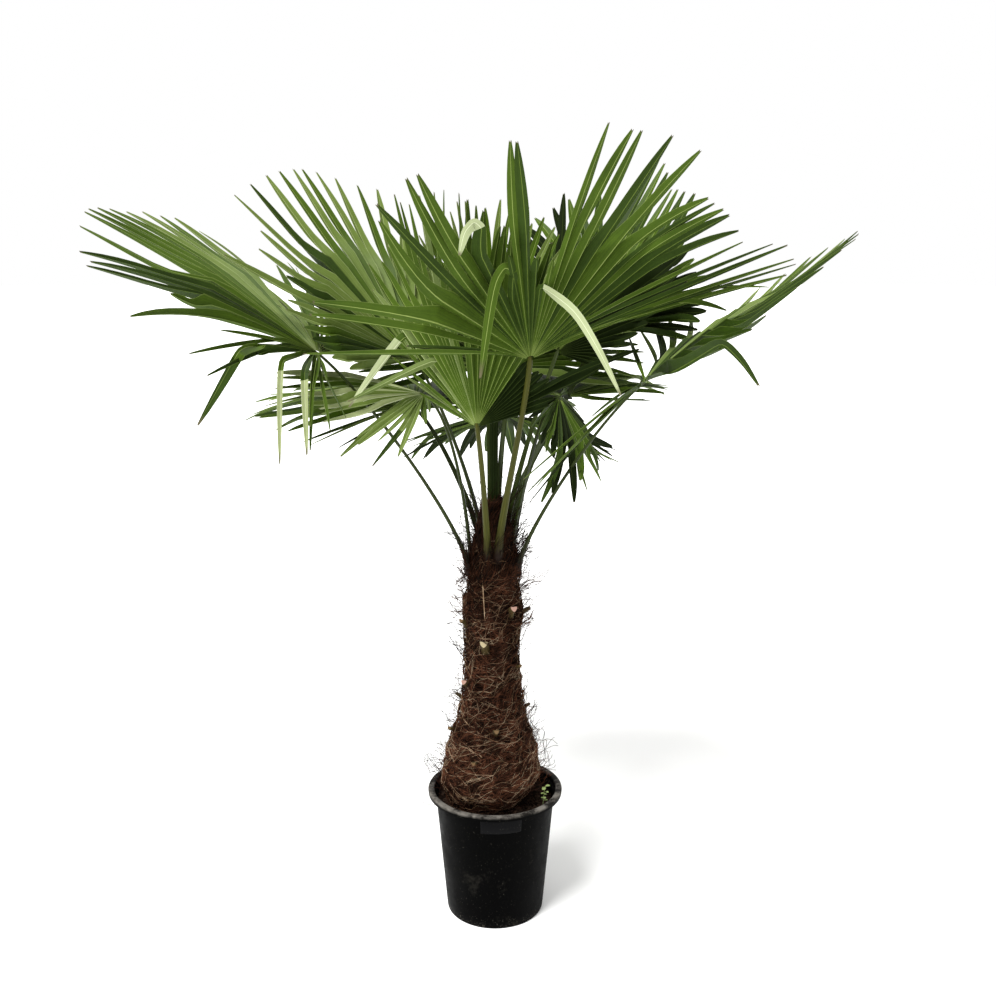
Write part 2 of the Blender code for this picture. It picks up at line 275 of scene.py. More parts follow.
def make_camera():
    """The photograph's viewpoint."""
    lens = bpy.data.cameras.new("camera")
    lens.lens = LENS
    lens.sensor_width = SENSOR
    camera = new_object("camera", lens)
    camera.location = CAMERA_PLACE
    camera.rotation_euler = (radians(90 - CAMERA_DOWN), 0.0, 0.0)
    bpy.context.scene.camera = camera
    bpy.context.scene.view_settings.view_transform = "Standard"


def make_floor():
    """A large matt floor, pale as paper."""
    paper, node, shader, coords = new_material("matt white paper", 0.9)
    mottle = node(NOISE, {"Vector": coords["Object"], "Scale": 3.0, "Detail": 2.0})
    tone = node(RAMP, {"Fac": mottle}, stops=((0.2, "F2F2F0"), (0.8, "F6F6F5")))
    fill(shader, {"Base Color": tone})
    corners = circle(Vector(), FLOOR_RADIUS, FLOOR_SIDES)
    ground = build_mesh("studio_floor", corners, [range(FLOOR_SIDES)], smooth=False)
    ground.materials.append(paper)
    floor = new_object("studio_floor", ground)


def make_light():
    """A white world for the soft light from all sides, and a soft sun for the shading."""
    world = bpy.data.worlds.new("studio_sky")
    world.use_nodes = True
    sky = world.node_tree.nodes["Background"]
    fill(sky, {"Color": (1.0, 1.0, 1.0, 1.0), "Strength": WORLD_STRENGTH})
    bpy.context.scene.world = world
    lamp = bpy.data.lights.new("soft_sun", "SUN")
    lamp.energy = SUN_STRENGTH
    lamp.angle = radians(SUN_SOFTNESS)
    sun = new_object("soft_sun", lamp)
    sun.rotation_euler = (-SUN_FROM).to_track_quat("-Z", "Y").to_euler()


make_camera()
make_floor()
make_light()
print("camera", tuple(round(value, 3) for value in CAMERA_PLACE), "pitched down", CAMERA_DOWN)

# %% [markdown]
# ## From a place in the photograph to a place on the plant
#
# Some details are placed by where the photograph shows them, such as a leaflet's tip or
# a cut leaf base. A pixel gives only a line of sight, so each detail also needs what
# carries it: a fan's own surface, or the stem's.

# %% Lines of sight
FOCAL_PIXELS = LENS / SENSOR * PHOTO_HEIGHT
VIEW_AHEAD = Vector((0.0, cos(radians(CAMERA_DOWN)), -sin(radians(CAMERA_DOWN))))
VIEW_UP = Vector((0.0, sin(radians(CAMERA_DOWN)), cos(radians(CAMERA_DOWN))))


def sight_line(x, y):
    """Direction from the camera through a pixel of the photograph."""
    across = (x - PHOTO_WIDTH / 2) / FOCAL_PIXELS
    up = (PHOTO_HEIGHT / 2 - y) / FOCAL_PIXELS
    return VIEW_AHEAD + Vector((across, 0.0, 0.0)) + VIEW_UP * up


def seen_at(point):
    """The pixel where the photograph would show a point."""
    arm = point - CAMERA_PLACE
    depth = arm.dot(VIEW_AHEAD)
    return (PHOTO_WIDTH / 2 + FOCAL_PIXELS * arm.x / depth,
            PHOTO_HEIGHT / 2 - FOCAL_PIXELS * arm.dot(VIEW_UP) / depth)


def at_depth(x, y, depth):
    """The point on a pixel's line of sight at a depth along Y."""
    line = sight_line(x, y)
    return CAMERA_PLACE + line * ((depth - CAMERA_PLACE.y) / line.y)


print("focal length", round(FOCAL_PIXELS, 1), "pixels")

# %% [markdown]
# ## Sizes that the pieces share
#
# These values repeat the frame's own: the pot's profile, the stem's lean, and one row for
# each frond. Two things differ. The stem's taper is up to 14 mm slimmer, because its loose
# fibre fills the rest, and the left half of front_centre folds further up, so that the
# stalk before it shows.
#
# A frond's row gives the ledge and bearing of its foot, the hub where stalk and blade
# meet, and the blade's heading, pitch, reach and droop. Each half of a blade has its own
# fold up from flat, its own spread, and the length of its last leaflet beside the middle
# one.

# %% Pot and stem sizes
POT_HEIGHT = 0.356
POT_BASE_RADIUS = 0.133
POT_NECK_RADIUS = 0.163
POT_RIM_RADIUS = 0.184
POT_LIP_DEPTH = 0.014
POT_WALL = 0.003
SOIL_TOP = 0.324
TAB_BEARING = -84
TAB_WIDTH = 0.112
TAB_HEIGHT = 0.044

STEM_TOP = 1.090
STEM_PROFILE = (
    (0.000, 0.128), (0.050, 0.131), (0.095, 0.128), (0.142, 0.118), (0.215, 0.095),
    (0.285, 0.080), (0.340, 0.073), (0.435, 0.069), (0.495, 0.069), (0.530, 0.076),
    (0.555, 0.073), (0.595, 0.064), (0.645, 0.062), (0.690, 0.054), (0.735, 0.044),
    (0.766, 0.030),
)
STEM_FOOT_SHIFT = -0.014
STEM_LEAN = 0.0157
LEDGES = ((0.965, 0.069), (1.005, 0.056), (1.048, 0.043), (STEM_TOP, 0.030))
LEDGE_INSET = 0.0066
SEAT_GAP = 0.0003
STALK_RISE = 0.16
STALK_NOD = 0.20
HUB_RADIUS = 0.010
print("stem", SOIL_TOP, "to", STEM_TOP)

# %% Fronds
Half = namedtuple("Half", "rise spread short")
Frond = namedtuple("Frond", "name ledge bearing hub heading pitch reach droop left right")
FRONDS = (
    Frond("front_high", 1, -78, (0.082, -0.282, 1.555), -91, 56, 0.60, 0.10,
          Half(22, 78, 1.00), Half(-13, 70, 0.85)),
    Frond("front_centre", 1, -108, (-0.042, -0.215, 1.388), -110, 68, 0.56, 0.03,
          Half(30, 88, 0.75), Half(31, 88, 0.70)),
    Frond("far_left", 0, 190, (-0.440, -0.052, 1.549), 181, 37, 0.66, 0.19,
          Half(-4, 114, 0.50), Half(15, 118, 0.50)),
    Frond("far_right", 0, -12, (0.368, -0.090, 1.480), -14, 35, 0.63, 0.11,
          Half(6, 100, 0.56), Half(3, 130, 0.60)),
    Frond("left_high", 2, 148, (-0.215, 0.170, 1.511), 172, 48, 0.64, 0.04,
          Half(-14, 80, 0.87), Half(27, 96, 0.80)),
    Frond("right_high", 2, 32, (0.165, 0.120, 1.535), 48, 56, 0.58, 0.04,
          Half(15, 45, 0.60), Half(-8, 105, 0.74)),
    Frond("left_low", 0, 158, (-0.184, 0.040, 1.436), 184, 17, 0.39, 0.30,
          Half(-17, 100, 0.76), Half(-12, 110, 0.60)),
    Frond("right_low", 1, -15, (0.168, 0.060, 1.425), -22, -60, 0.27, 0.20,
          Half(-8, 105, 0.85), Half(-8, 105, 0.85)),
    Frond("back_right_high", 2, 62, (0.283, 0.300, 1.590), 78, 60, 0.50, 0.10,
          Half(5, 95, 0.72), Half(5, 100, 0.72)),
    Frond("back_high", 2, 96, (0.000, 0.380, 1.470), 92, 38, 0.58, 0.12,
          Half(8, 110, 0.65), Half(8, 110, 0.65)),
    Frond("back_left", 1, 128, (-0.230, 0.370, 1.350), 128, 12, 0.56, 0.22,
          Half(4, 110, 0.65), Half(4, 110, 0.65)),
    Frond("back_right", 1, 50, (0.190, 0.330, 1.390), 68, 14, 0.48, 0.25,
          Half(2, 108, 0.65), Half(2, 78, 0.50)),
    Frond("back_low", 0, 86, (0.030, 0.300, 1.340), 84, -10, 0.42, 0.35,
          Half(-6, 100, 0.70), Half(-6, 100, 0.70)),
    Frond("heart", 3, 110, (-0.020, 0.070, 1.490), 105, 80, 0.44, 0.02,
          Half(30, 42, 0.85), Half(30, 42, 0.85)),
)
print(len(FRONDS), "fronds")

# %% Reading the sizes


def along_table(table, share):
    """Read a value from a short table of (share, value) pairs."""
    for (low, first), (high, second) in zip(table, table[1:]):
        if share <= high:
            return first + (second - first) * (max(share, low) - low) / (high - low)
    return table[-1][1]


def stem_middle(height):
    """The middle of the leaning stem at a height."""
    return Vector((STEM_FOOT_SHIFT + STEM_LEAN * (height - SOIL_TOP - SEAT_GAP), 0.0, height))


def stem_radius(height):
    """The stem's radius over its fibre at a height."""
    return along_table(STEM_PROFILE, height - SOIL_TOP)


def on_stem(x, y):
    """Where a pixel's line of sight meets the front of the stem, and its bearing there."""
    depth = -0.16
    while depth < 0.0:
        point = at_depth(x, y, depth)
        arm = point - stem_middle(point.z)
        if hypot(arm.x, arm.y) <= stem_radius(point.z):
            break
        depth += 0.002
    return point, atan2(arm.y, arm.x)


def half_at(frond, angle):
    """The half of a blade that an angle from its midrib lies in (left is minus)."""
    return frond.left if angle < 0 else frond.right


def frond_axes(frond):
    """The blade's midrib direction, its upper side and its right side."""
    turn = radians(frond.heading)
    lift = radians(frond.pitch)
    along = Vector((cos(lift) * cos(turn), cos(lift) * sin(turn), sin(lift)))
    upper = Vector((-sin(lift) * cos(turn), -sin(lift) * sin(turn), cos(lift)))
    return along, upper, along.cross(upper)


def blade_point(frond, axes, angle, reach):
    """A point of the blade at an angle from the midrib and a reach from the hub."""
    along, upper, right = axes
    side = -1.0 if angle < 0 else 1.0
    rise = radians(half_at(frond, angle).rise)
    turn = radians(abs(angle))
    out = along * cos(turn) + (right * side * cos(rise) + upper * sin(rise)) * sin(turn)
    sag = frond.droop * hypot(out.x, out.y) * reach * reach
    return Vector(frond.hub) + out * reach - Vector((0, 0, sag))


def leaflet_length(frond, angle):
    """Length of the leaflet at an angle: the longest at the midrib."""
    half = half_at(frond, angle)
    share = min(abs(angle) / half.spread, 1.0)
    return frond.reach * (1 - (1 - half.short) * share * share)


def stalk_foot(frond):
    """Where a stalk stands on its ledge."""
    height, radius = LEDGES[frond.ledge]
    out = around(radians(frond.bearing), radius - LEDGE_INSET)
    return stem_middle(height) + out + Vector((0, 0, SEAT_GAP))


print("stem radius half way up", round(stem_radius((SOIL_TOP + STEM_TOP) / 2), 3))

# %% [markdown]
# ## Leaf finishes
#
# A fan leaf is a tough waxy sheet. Its upper side is a deep satin green, its underside is
# paler and greyer, and fine veins run along each leaflet. The fold in the middle of each
# leaflet carries a pale rib, and the cut margins are pale too. The pattern follows the
# leaflet, so it reads the leaf's own UV map: U runs across from margin to margin, and V
# runs from the hub to the tip. Five tints are dealt out leaflet by leaflet. Part of their
# spread is the uneven green of a living head, and part is painted light: the darkest tints
# paint the shade deep in the head, and the light tint is partly painted sheen of the sky.

# %% Leaf materials
LEAF_GLOSS = 0.12    # a leaf's wax is duller than a polished surface of its IOR
INNER_GLOSS = 0.03   # and the leaves with the painted-shade tint get almost no shine, so that they stay dark
DRY_TIP = "5B5440"
VEINS_ACROSS = 9.0   # a real leaflet has about 40; drawn coarser, so that they show


def leaf_material(name, green, deep, rib, roughness, gloss, rib_width, bump):
    """A waxy leaf surface with veins, a pale rib and margin, and a dry brown tip."""
    material, node, shader, coords = new_material(name, roughness, gloss)
    split = node(AXES, {"Vector": coords["UV"]})
    across = split.outputs["X"]
    along = split.outputs["Y"]
    patches = node(NOISE, {
        "Vector": coords["Object"], "Scale": 7.0, "Detail": 5.0, "Roughness": 0.65})
    body = node(RAMP, {"Fac": patches}, stops=((0.32, deep), (0.70, green)))
    stretch = node(STRETCH, {"Vector": coords["UV"], "Scale": (VEINS_ACROSS, 0.35, 1.0)})
    veins = node(NOISE, {"Vector": stretch, "Scale": 5.0, "Detail": 2.0})
    lines = node(RAMP, {"Fac": veins}, stops=((0.38, deep), (0.62, green)))
    veined = node(MIX, {0: 0.4, 6: body, 7: lines}, data_type="RGBA")
    offset = node(MATH, {0: across, 1: 0.5}, operation="SUBTRACT")
    distance = node(MATH, {0: offset}, operation="ABSOLUTE")
    on_rib = node(RANGE, {"Value": distance}, span=(rib_width * 0.35, rib_width, 0.75, 0.0))
    on_edge = node(RANGE, {"Value": distance}, span=(0.465, 0.497, 0.0, 0.30))
    near_hub = node(RANGE, {"Value": along}, span=(0.015, 0.06, 0.35, 0.0))
    pale = node(MATH, {0: on_rib, 1: on_edge}, operation="MAXIMUM")
    paler = node(MATH, {0: pale, 1: near_hub}, operation="MAXIMUM")
    ribbed = node(MIX, {0: paler, 6: veined, 7: linear(rib)}, data_type="RGBA")
    wobble = node(MATH, {0: patches, 1: 0.05, 2: along}, operation="MULTIPLY_ADD")
    dry = node(RANGE, {"Value": wobble}, span=(0.985, 1.015, 0.0, 0.85))
    tipped = node(MIX, {0: dry, 6: ribbed, 7: linear(DRY_TIP)}, data_type="RGBA")
    relief = node(BUMP, {"Height": veins, "Strength": bump, "Distance": 0.001})
    fill(shader, {"Base Color": tipped, "Normal": relief})
    return material


LeafTint = namedtuple("LeafTint", "name upper upper_deep under under_deep rib")
# From dark to pale: the shade tint is painted shade for leaves deep in the head, and the light tint
# is partly the leaf's grey-green, partly painted sheen of the sky on its wax.
LEAF_TINTS = (
    LeafTint("shade", "18220A", "0C1204", "1A250B", "0E1605", "36411A"),
    LeafTint("deep", "2E420A", "1A2804", "324611", "1D2B05", "6C7E36"),
    LeafTint("mid", "445A10", "293B05", "485E17", "2B3D0A", "909F58"),
    LeafTint("light", "66763A", "44561A", "6C7B44", "485828", "ABB680"),
    LeafTint("pale", "9AA276", "7A8554", "A8B18A", "868F66", "D0D5B4"),
)
SHADE, DEEP, MID, LIGHT, PALE = range(5)
LEAF_FINISHES = []
for tint in LEAF_TINTS:
    gloss = INNER_GLOSS if tint.name == "shade" else LEAF_GLOSS
    LEAF_FINISHES.append(leaf_material(
        f"waxy leaf upper side {tint.name}", tint.upper, tint.upper_deep, tint.rib,
        roughness=0.48, gloss=gloss, rib_width=0.032, bump=0.25))
    LEAF_FINISHES.append(leaf_material(
        f"leaf underside {tint.name}", tint.under, tint.under_deep, tint.rib,
        roughness=0.70, gloss=gloss, rib_width=0.040, bump=0.35))
print(len(LEAF_FINISHES), "leaf finishes")

# %% [markdown]
# ## Where the leaflets end
#
# The real head is not tidy: tips stand in pairs, some leaflets are snapped over, and a
# few hang down in front. So each fan has its leaflets listed in order, from its left end
# to its midrib and from its midrib to its right end. One entry is one leaflet:
#
# - a pixel (x, y) of the photograph, where its tip shows
# - several pixels, for a leaflet that is snapped or curls over. The later ones also give
#   how much nearer than the bend they hang, in metres
# - one number, for a leaflet that the photograph doesn't show: its length beside the rule's
#
# A row then gives the tints of both halves, how much the leaflets sag, and how uneven they
# are. On an old fan the leaflets at both ends have torn loose down to the hub, and the row
# says how many on each side. It also lists the tints of the snapped leaflets, how many
# leaflets on each side get the shade tint as painted shade, and how far the pleats open past the
# joins.

# %% Leaflets in order
Growth = namedtuple(
    "Growth", "left right left_tints right_tints sag uneven loose bent_tints shaded opens",
    defaults=((0, 0), (), (0, 0), 0.55))
GREENS = (DEEP, DEEP, MID, MID, MID, LIGHT)
# A dark mix of tints, painted shade, for the fans at the back of the head and under it.
SHADE_PAINT_MIX = (SHADE, SHADE, DEEP, DEEP, MID)


def plain_leaflets(count, longest=1.0):
    """Leaflets that grow by the rule alone."""
    return (longest,) * count


GROWTH = {
    "front_high": Growth(
        ((727, 311), (770, 287), (787, 275), (796, 264), (794, 259), (788, 245),
         (773, 244), (743, 242), (739, 231), (730, 215), (724, 209), (715, 203), (709, 198),
         (701, 150), (673, 135), (642, 130), (633, 129), (609, 122), 0.45,
         ((540, 285), (575, 310, 0.04), (600, 352, 0.06), (621, 396, 0.06)), 0.5),
        ((517, 141), (510, 140), 0.5,
         ((514, 274), (505, 266, 0.01), (494, 284, 0.03), (480, 379, 0.04)),
         ((482, 228), (474, 221, 0.01), (464, 232, 0.02), (459, 256, 0.03)), (417, 174),
         (406, 178), (376, 204), (379, 220), (312, 302), (309, 315), (303, 354), 0.62),
        (DEEP, DEEP, MID, MID, MID), (DEEP, MID, MID), 0.03, 0.6, (0, 2), (PALE, MID, PALE)),
    "front_centre": Growth(
        (0.42, 0.45, (606, 364), (640, 349), 0.45, 0.42, 0.40, 0.40, 0.42, 0.44, 0.48,
         (552, 242), (540, 256), (511, 234), (505, 225), (500, 226), (484, 210), (467, 199)),
        ((459, 193), (444, 190), (434, 192), (419, 195), (409, 204), (400, 202), (394, 194),
         0.93, 0.9, 0.95, 0.88, ((405, 334), (349, 408, 0.04)), 0.9,
         ((439, 356), (347, 402, 0.05)), 0.8, 0.7, 0.6),
        (MID, MID, MID), (MID, MID, MID, LIGHT), 0.03, 0.6, (0, 5), (PALE, LIGHT), (9, 0)),
    "far_left": Growth(
        (0.5, (346, 418), (330, 431), 0.7, (310, 427), (310, 451),
         ((304, 373), (307, 456, 0.02)), ((281, 361), (280, 465, 0.03)), 0.55,
         ((238, 352), (197, 426, 0.02)), (207, 376), 0.6, (189, 354), (130, 317), 0.7,
         (86, 266), (90, 262), (79, 252), (79, 226)),
        ((84, 212), (88, 209), (97, 208), (109, 209), (126, 212), (142, 212), (160, 216),
         (174, 218), (199, 231), (203, 249), (233, 261), (253, 279), (276, 265), (288, 263),
         (296, 268), (314, 270), (350, 276), (359, 285), 0.7, 0.6),
        (DEEP, DEEP, MID, MID), (MID, LIGHT, LIGHT), 0.06, 0.8, (8, 2),
        (PALE, PALE, DEEP), (0, 0), 0.1),
    "far_right": Growth(
        (0.5, (629, 337), (639, 329), (654, 322), (669, 319), (691, 320), (723, 317), 0.8,
         (760, 288), (785, 274), (811, 257), (828, 248), (845, 239), (858, 231)),
        ((859, 234), (856, 239), (842, 250), (824, 267), (798, 287), (766, 316), (752, 330),
         (731, 345), ((722, 342), (742, 362, 0.02), (759, 387, 0.03)), 0.3, 0.28, 0.28,
         0.4, (523, 480), (527, 493), 0.55, (530, 502), (536, 487)),
        (DEEP, MID, MID, LIGHT), (SHADE, DEEP, DEEP, MID), 0.04, 0.7, (2, 8), (DEEP,), (0, 0), 0.3),
    "left_high": Growth(
        (0.55, 0.6, 0.6, 0.65, 0.65, 0.7, 0.7, (224, 255), 0.72, 0.8, 0.85, (234, 195),
         (250, 184)),
        ((266, 175), (279, 171), (293, 169), (302, 169), (316, 172), (335, 178), (357, 185),
         (377, 189), 0.85, 0.85, 0.8, 0.8, 0.75, 0.7, 0.7, 0.6),
        (DEEP, MID, LIGHT, LIGHT), (MID, LIGHT, LIGHT), 0.03, 0.6),
    "right_high": Growth(
        (0.6, 0.65, 0.7, (552, 242), (564, 193), 0.62, 0.65, 0.68, 0.7),
        ((659, 160), (665, 163), (668, 172), (672, 189), (678, 189), (685, 191), (695, 193),
         0.8, 0.75, 0.7, 0.6, 0.5, 0.45, 0.4, 0.36, 0.34, 0.32, 0.3),
        SHADE_PAINT_MIX, (DEEP, MID, LIGHT), 0.03, 0.6, (0, 0), (), (0, 11)),
    "left_low": Growth(
        (0.5, (398, 457), ((404, 428), (372, 467, 0.02)), (378, 441), (358, 445), (357, 437),
         (340, 457), (323, 422), (321, 414), (319, 409), (297, 404), (290, 395), (265, 406),
         (275, 389), (276, 378), (276, 373)),
        (0.95, 0.9, 0.95) + plain_leaflets(14, 0.85),
        (MID, LIGHT, LIGHT, PALE), (MID, MID, LIGHT), 0.10, 0.9, (7, 2), (DEEP,)),
    "right_low": Growth(
        plain_leaflets(7, 0.8) + ((613, 447), 0.9, (594, 456), 0.8, 0.9),
        ((580, 481), 0.9, (574, 503), (552, 494), (541, 503)) + plain_leaflets(8, 0.8),
        SHADE_PAINT_MIX, SHADE_PAINT_MIX, 0.12, 1.2, (5, 5)),
    "back_right_high": Growth(
        plain_leaflets(16, 0.9), plain_leaflets(17, 0.75), SHADE_PAINT_MIX, SHADE_PAINT_MIX, 0.08, 1.0),
    "back_high": Growth(
        plain_leaflets(18, 0.95), plain_leaflets(18, 0.95), GREENS, GREENS, 0.10, 1.0),
    "back_left": Growth(
        plain_leaflets(18, 0.95), plain_leaflets(18, 0.95), GREENS, GREENS, 0.20, 1.2, (3, 3)),
    "back_right": Growth(
        plain_leaflets(18, 0.95), plain_leaflets(13, 0.9), GREENS, GREENS, 0.20, 1.2, (3, 2)),
    "back_low": Growth(
        plain_leaflets(16, 0.95), plain_leaflets(16, 0.95), SHADE_PAINT_MIX, SHADE_PAINT_MIX, 0.25, 1.3, (5, 5)),
    "heart": Growth(
        plain_leaflets(11), plain_leaflets(11), (MID, LIGHT), (MID, LIGHT), 0.01, 0.5),
}
print(sum(len(growth.left) + len(growth.right) for growth in GROWTH.values()), "leaflets")

# %% [markdown]
# ## Fans
#
# A fan is one pleated sheet near its hub, where the leaflets are joined edge to edge.
# Past about half of its reach the joins split, and every leaflet runs on by itself, still
# folded like a gutter, to a blunt tip. A flat strip for each leaflet would lose the fold
# that gives the fan its light and dark lines, so each leaflet here has two panels, one on
# each side of its rib.
#
# In the joined part both margins lie on rays that the neighbour shares, so the strips
# close up into one sheet. In the free part a leaflet carries its own frame of three
# directions along its path. The rows come from plain loops rather than nodes, because
# each leaflet has its own listed end.

# %% Joined part
WEB_SHARES = (0.10, 0.20, 0.30, 0.40, 0.48, 0.55, 0.61)
SPLIT_AT = 5             # the web row where most joins split
PLEAT = 0.65             # depth of a fold beside half of the leaflet's width


def margin_normal(frond, axes, angle, share):
    """The blade's normal on a shared ray, the same for both leaflets that meet there."""
    reach = max(share, 0.05) * leaflet_length(frond, angle)
    before = blade_point(frond, axes, angle - 2.0, reach)
    after = blade_point(frond, axes, angle + 2.0, reach)
    ahead = blade_point(frond, axes, angle, reach) - Vector(frond.hub)
    return (after - before).cross(ahead).normalized()


def web_rows(frond, axes, low, high, last):
    """Left margin, rib and right margin of a leaflet on each row of the joined sheet."""
    middle = (low + high) / 2
    angles = (low, middle, high)
    lengths = [leaflet_length(frond, angle) for angle in angles]
    rows = []
    for share in ((HUB_RADIUS / lengths[1],) + WEB_SHARES)[:last + 1]:
        left, rib, right = (
            blade_point(frond, axes, angle, share * length)
            for angle, length in zip(angles, lengths)
        )
        ahead = (rib - Vector(frond.hub)).normalized()
        normal = (right - left).normalized().cross(ahead).normalized()
        depth = PLEAT * (right - left).length / 2
        rows.append([
            left + margin_normal(frond, axes, low, share) * depth,
            rib - normal * depth,
            right + margin_normal(frond, axes, high, share) * depth,
        ])
    return rows


print("joined as far as", WEB_SHARES[SPLIT_AT - 1], "of a fan's reach")

# %% Where each leaflet points
LEAST_ANGLE = 1.3        # least angle between neighbours, in degrees
FOLLOW_TIP = 0.65        # how far a leaflet leaves its even place to point at its own tip
KEEP_ANGLE = 0.45        # pixels that a degree off the expected angle counts for
SEARCH_ANGLES = [2.5 * i for i in range(-16, 17)]         # degrees round the expected angle
SEARCH_REACHES = [0.34 + 0.028 * i for i in range(26)]    # beside the leaflet's length


def tip_on_blade(frond, axes, x, y, expected):
    """The blade's angle and reach that a pixel shows, near the angle that is expected."""
    best = None
    for turn in SEARCH_ANGLES:
        angle = expected + turn
        if abs(angle) > half_at(frond, angle).spread + 3:
            continue
        longest = leaflet_length(frond, angle)
        for share in SEARCH_REACHES:
            reach = longest * share
            px, py = seen_at(blade_point(frond, axes, angle, reach))
            cost = (px - x) ** 2 + (py - y) ** 2 + (KEEP_ANGLE * turn) ** 2
            if best is None or cost < best[0]:
                best = (cost, angle, reach)
    return best[1:]


def first_pixel(entry):
    """The pixel of a listed leaflet's tip or bend, or nothing where the rule sets it."""
    if isinstance(entry, float):
        return None
    return entry[0] if isinstance(entry[0], tuple) else entry


def leaflet_angles(frond, axes, entries, low, high):
    """Each leaflet's angle in order, its reach share, and how far it points off its ray."""
    count = len(entries)
    even = [low + (high - low) * (i + 0.5) / count for i in range(count)]
    found = []
    shares = []
    for angle, entry in zip(even, entries):
        pixel = first_pixel(entry)
        if pixel is None:
            found.append(None)
            shares.append(entry)
        else:
            tip, reach = tip_on_blade(frond, axes, *pixel, angle)
            found.append(tip)
            shares.append(reach / leaflet_length(frond, tip))
    marks = [(-1, low)]
    for i, angle in enumerate(found):
        if angle is not None and angle >= marks[-1][1] + LEAST_ANGLE * (i - marks[-1][0]):
            marks.append((i, min(angle, high - LEAST_ANGLE * (count - i))))
    marks.append((count, high))
    tips = []
    for (i, first), (j, second) in zip(marks, marks[1:]):
        tips += [first + (second - first) * (k - i) / (j - i) for k in range(i + 1, j + 1)]
    angles = [FOLLOW_TIP * tip + (1 - FOLLOW_TIP) * angle for tip, angle in zip(tips, even)]
    misses = [0.0 if own is None else abs(own - angle) for own, angle in zip(found, angles)]
    return list(zip(angles, shares, misses))


print(len(SEARCH_ANGLES) * len(SEARCH_REACHES), "places tried for each tip")

# %% Free part
FREE_STEPS = (0.10, 0.22, 0.36, 0.50, 0.64, 0.76, 0.86, 0.93, 0.975, 1.0)
SHORTEST_FREE = 0.04     # least free length past the joins, in metres
BEND_STEPS = 5           # points on each later part of a snapped leaflet
MOST_BOW = 0.008         # how far the path bows off the blade, in metres


def leaflet_path(frond, axes, entry, middle, start, ahead, stiff, growth, dice):
    """The rib's points past the joins: nearly straight, out to the leaflet's own end."""
    pixel = first_pixel(entry)
    later = ()
    if pixel is None:
        angle = middle + dice.uniform(-2.0, 2.0) * growth.uneven
        reach = leaflet_length(frond, middle) * entry * dice.uniform(0.93, 1.02)
        tip = blade_point(frond, axes, angle, reach)
        tip.z -= growth.sag * dice.uniform(0.3, 1.4) * reach * 0.5
    else:
        later = entry[1:] if isinstance(entry[0], tuple) else ()
        angle, reach = tip_on_blade(frond, axes, *pixel, middle)
        tip = at_depth(*pixel, blade_point(frond, axes, angle, reach).y)
    span = tip - start
    if span.length < SHORTEST_FREE or span.dot(ahead) < 0.3 * span.length:
        tip = start + ahead * max(SHORTEST_FREE, span.length)
        span = tip - start
    control = start + ahead * span.length * stiff
    bow = axes[1] * dice.uniform(-1, 1) * growth.uneven * MOST_BOW
    points = []
    for step in FREE_STEPS:
        rest = 1 - step
        point = start * rest * rest + control * 2 * step * rest + tip * step * step
        points.append(point + bow * sin(pi * step))
    bend = points[-1]
    for x, y, nearer in later:
        turn = points[-1]
        end = at_depth(x, y, bend.y - nearer)
        points += [turn.lerp(end, i / BEND_STEPS) for i in range(1, BEND_STEPS + 1)]
    return round_corners(points) if later else points


def round_corners(points, passes=3):
    """Ease the corners of a snapped leaflet's path."""
    for i in range(passes):
        eased = [
            (before + here * 2 + after) / 4
            for before, here, after in zip(points, points[1:], points[2:])
        ]
        points = [points[0]] + eased + [points[-1]]
    return points


print("each free part has", len(FREE_STEPS), "rows")

# %% A leaflet's rows
TIP_WIDTH = 0.16         # beside the width where the leaflet splits off
BLUNT_TIP = 0.004        # how far the rib ends before the margins, in metres
STIFF_START = 0.35       # how far a leaflet keeps the direction that it starts in
LOOSE_START = 0.12       # the same for one that has torn loose down to the hub
WIDEST_HALF = 0.0175     # half of the widest leaflet past the joins, in metres
NARROWEST_HALF = 0.0105
HANGING_HALF = 0.0110    # least half width of a leaflet that is snapped over
HANGING_OPENS = 0.7      # how far the fold of a snapped leaflet opens
MOST_TWIST = 22          # degrees
SHOW_SHARE = 0.3         # how far a hanging leaflet's broad side turns out on each row


def free_width(share):
    """Width of a leaflet's free part, beside its width where it splits."""
    return TIP_WIDTH + (1 - TIP_WIDTH) * (1 - share ** 4.2) * (1 - 0.18 * share)


def strip_rows(points, frame_now, offsets, twist, hanging, opens):
    """Carry a leaflet's two margins along its path, turning with it as its fold opens."""
    lengths = [(after - before).length for before, after in zip(points, points[1:])]
    total = sum(lengths)
    half = max(Vector(offset).length for offset in offsets)
    least = HANGING_HALF if hanging else NARROWEST_HALF
    slim = min(max(half, least), WIDEST_HALF) / half
    gone = 0.0
    rows = []
    for i in range(1, len(points)):
        ahead = (points[min(i + 1, len(points) - 1)] - points[i - 1]).normalized()
        turn = frame_now[0].rotation_difference(ahead)
        spin = Quaternion(ahead, twist * lengths[i - 1] / total)
        frame_now = [spin @ (turn @ axis) for axis in frame_now]
        if hanging:
            frame_now = show_broad_side(frame_now, points[i])
        gone += lengths[i - 1]
        share = gone / total
        opened = min(1.0, 3 * share)
        width = free_width(share) * (1 + (slim - 1) * opened)
        row = []
        for along, across, fold in offsets:
            flat = across * (1 + 0.9 * opens * opened)
            deep = fold * (1 - opens * opened)
            row.append(points[i] + (
                frame_now[0] * along + frame_now[1] * flat + frame_now[2] * deep) * width)
        middle = points[i] - ahead * (BLUNT_TIP if i == len(points) - 1 else 0.0)
        rows.append([row[0], middle, row[1]])
    return rows


def show_broad_side(frame_now, place):
    """Turn a hanging leaflet a little on its rib, so that its broad side faces out."""
    ahead, across, normal = frame_now
    broad = ahead.cross(place - CAMERA_PLACE).normalized()
    if broad.dot(across) < 0:
        broad.negate()
    across = across * (1 - SHOW_SHARE) + broad * SHOW_SHARE
    across = (across - ahead * across.dot(ahead)).normalized()
    side = across.cross(ahead)
    return [ahead, across, side if side.dot(normal) > 0 else -side]


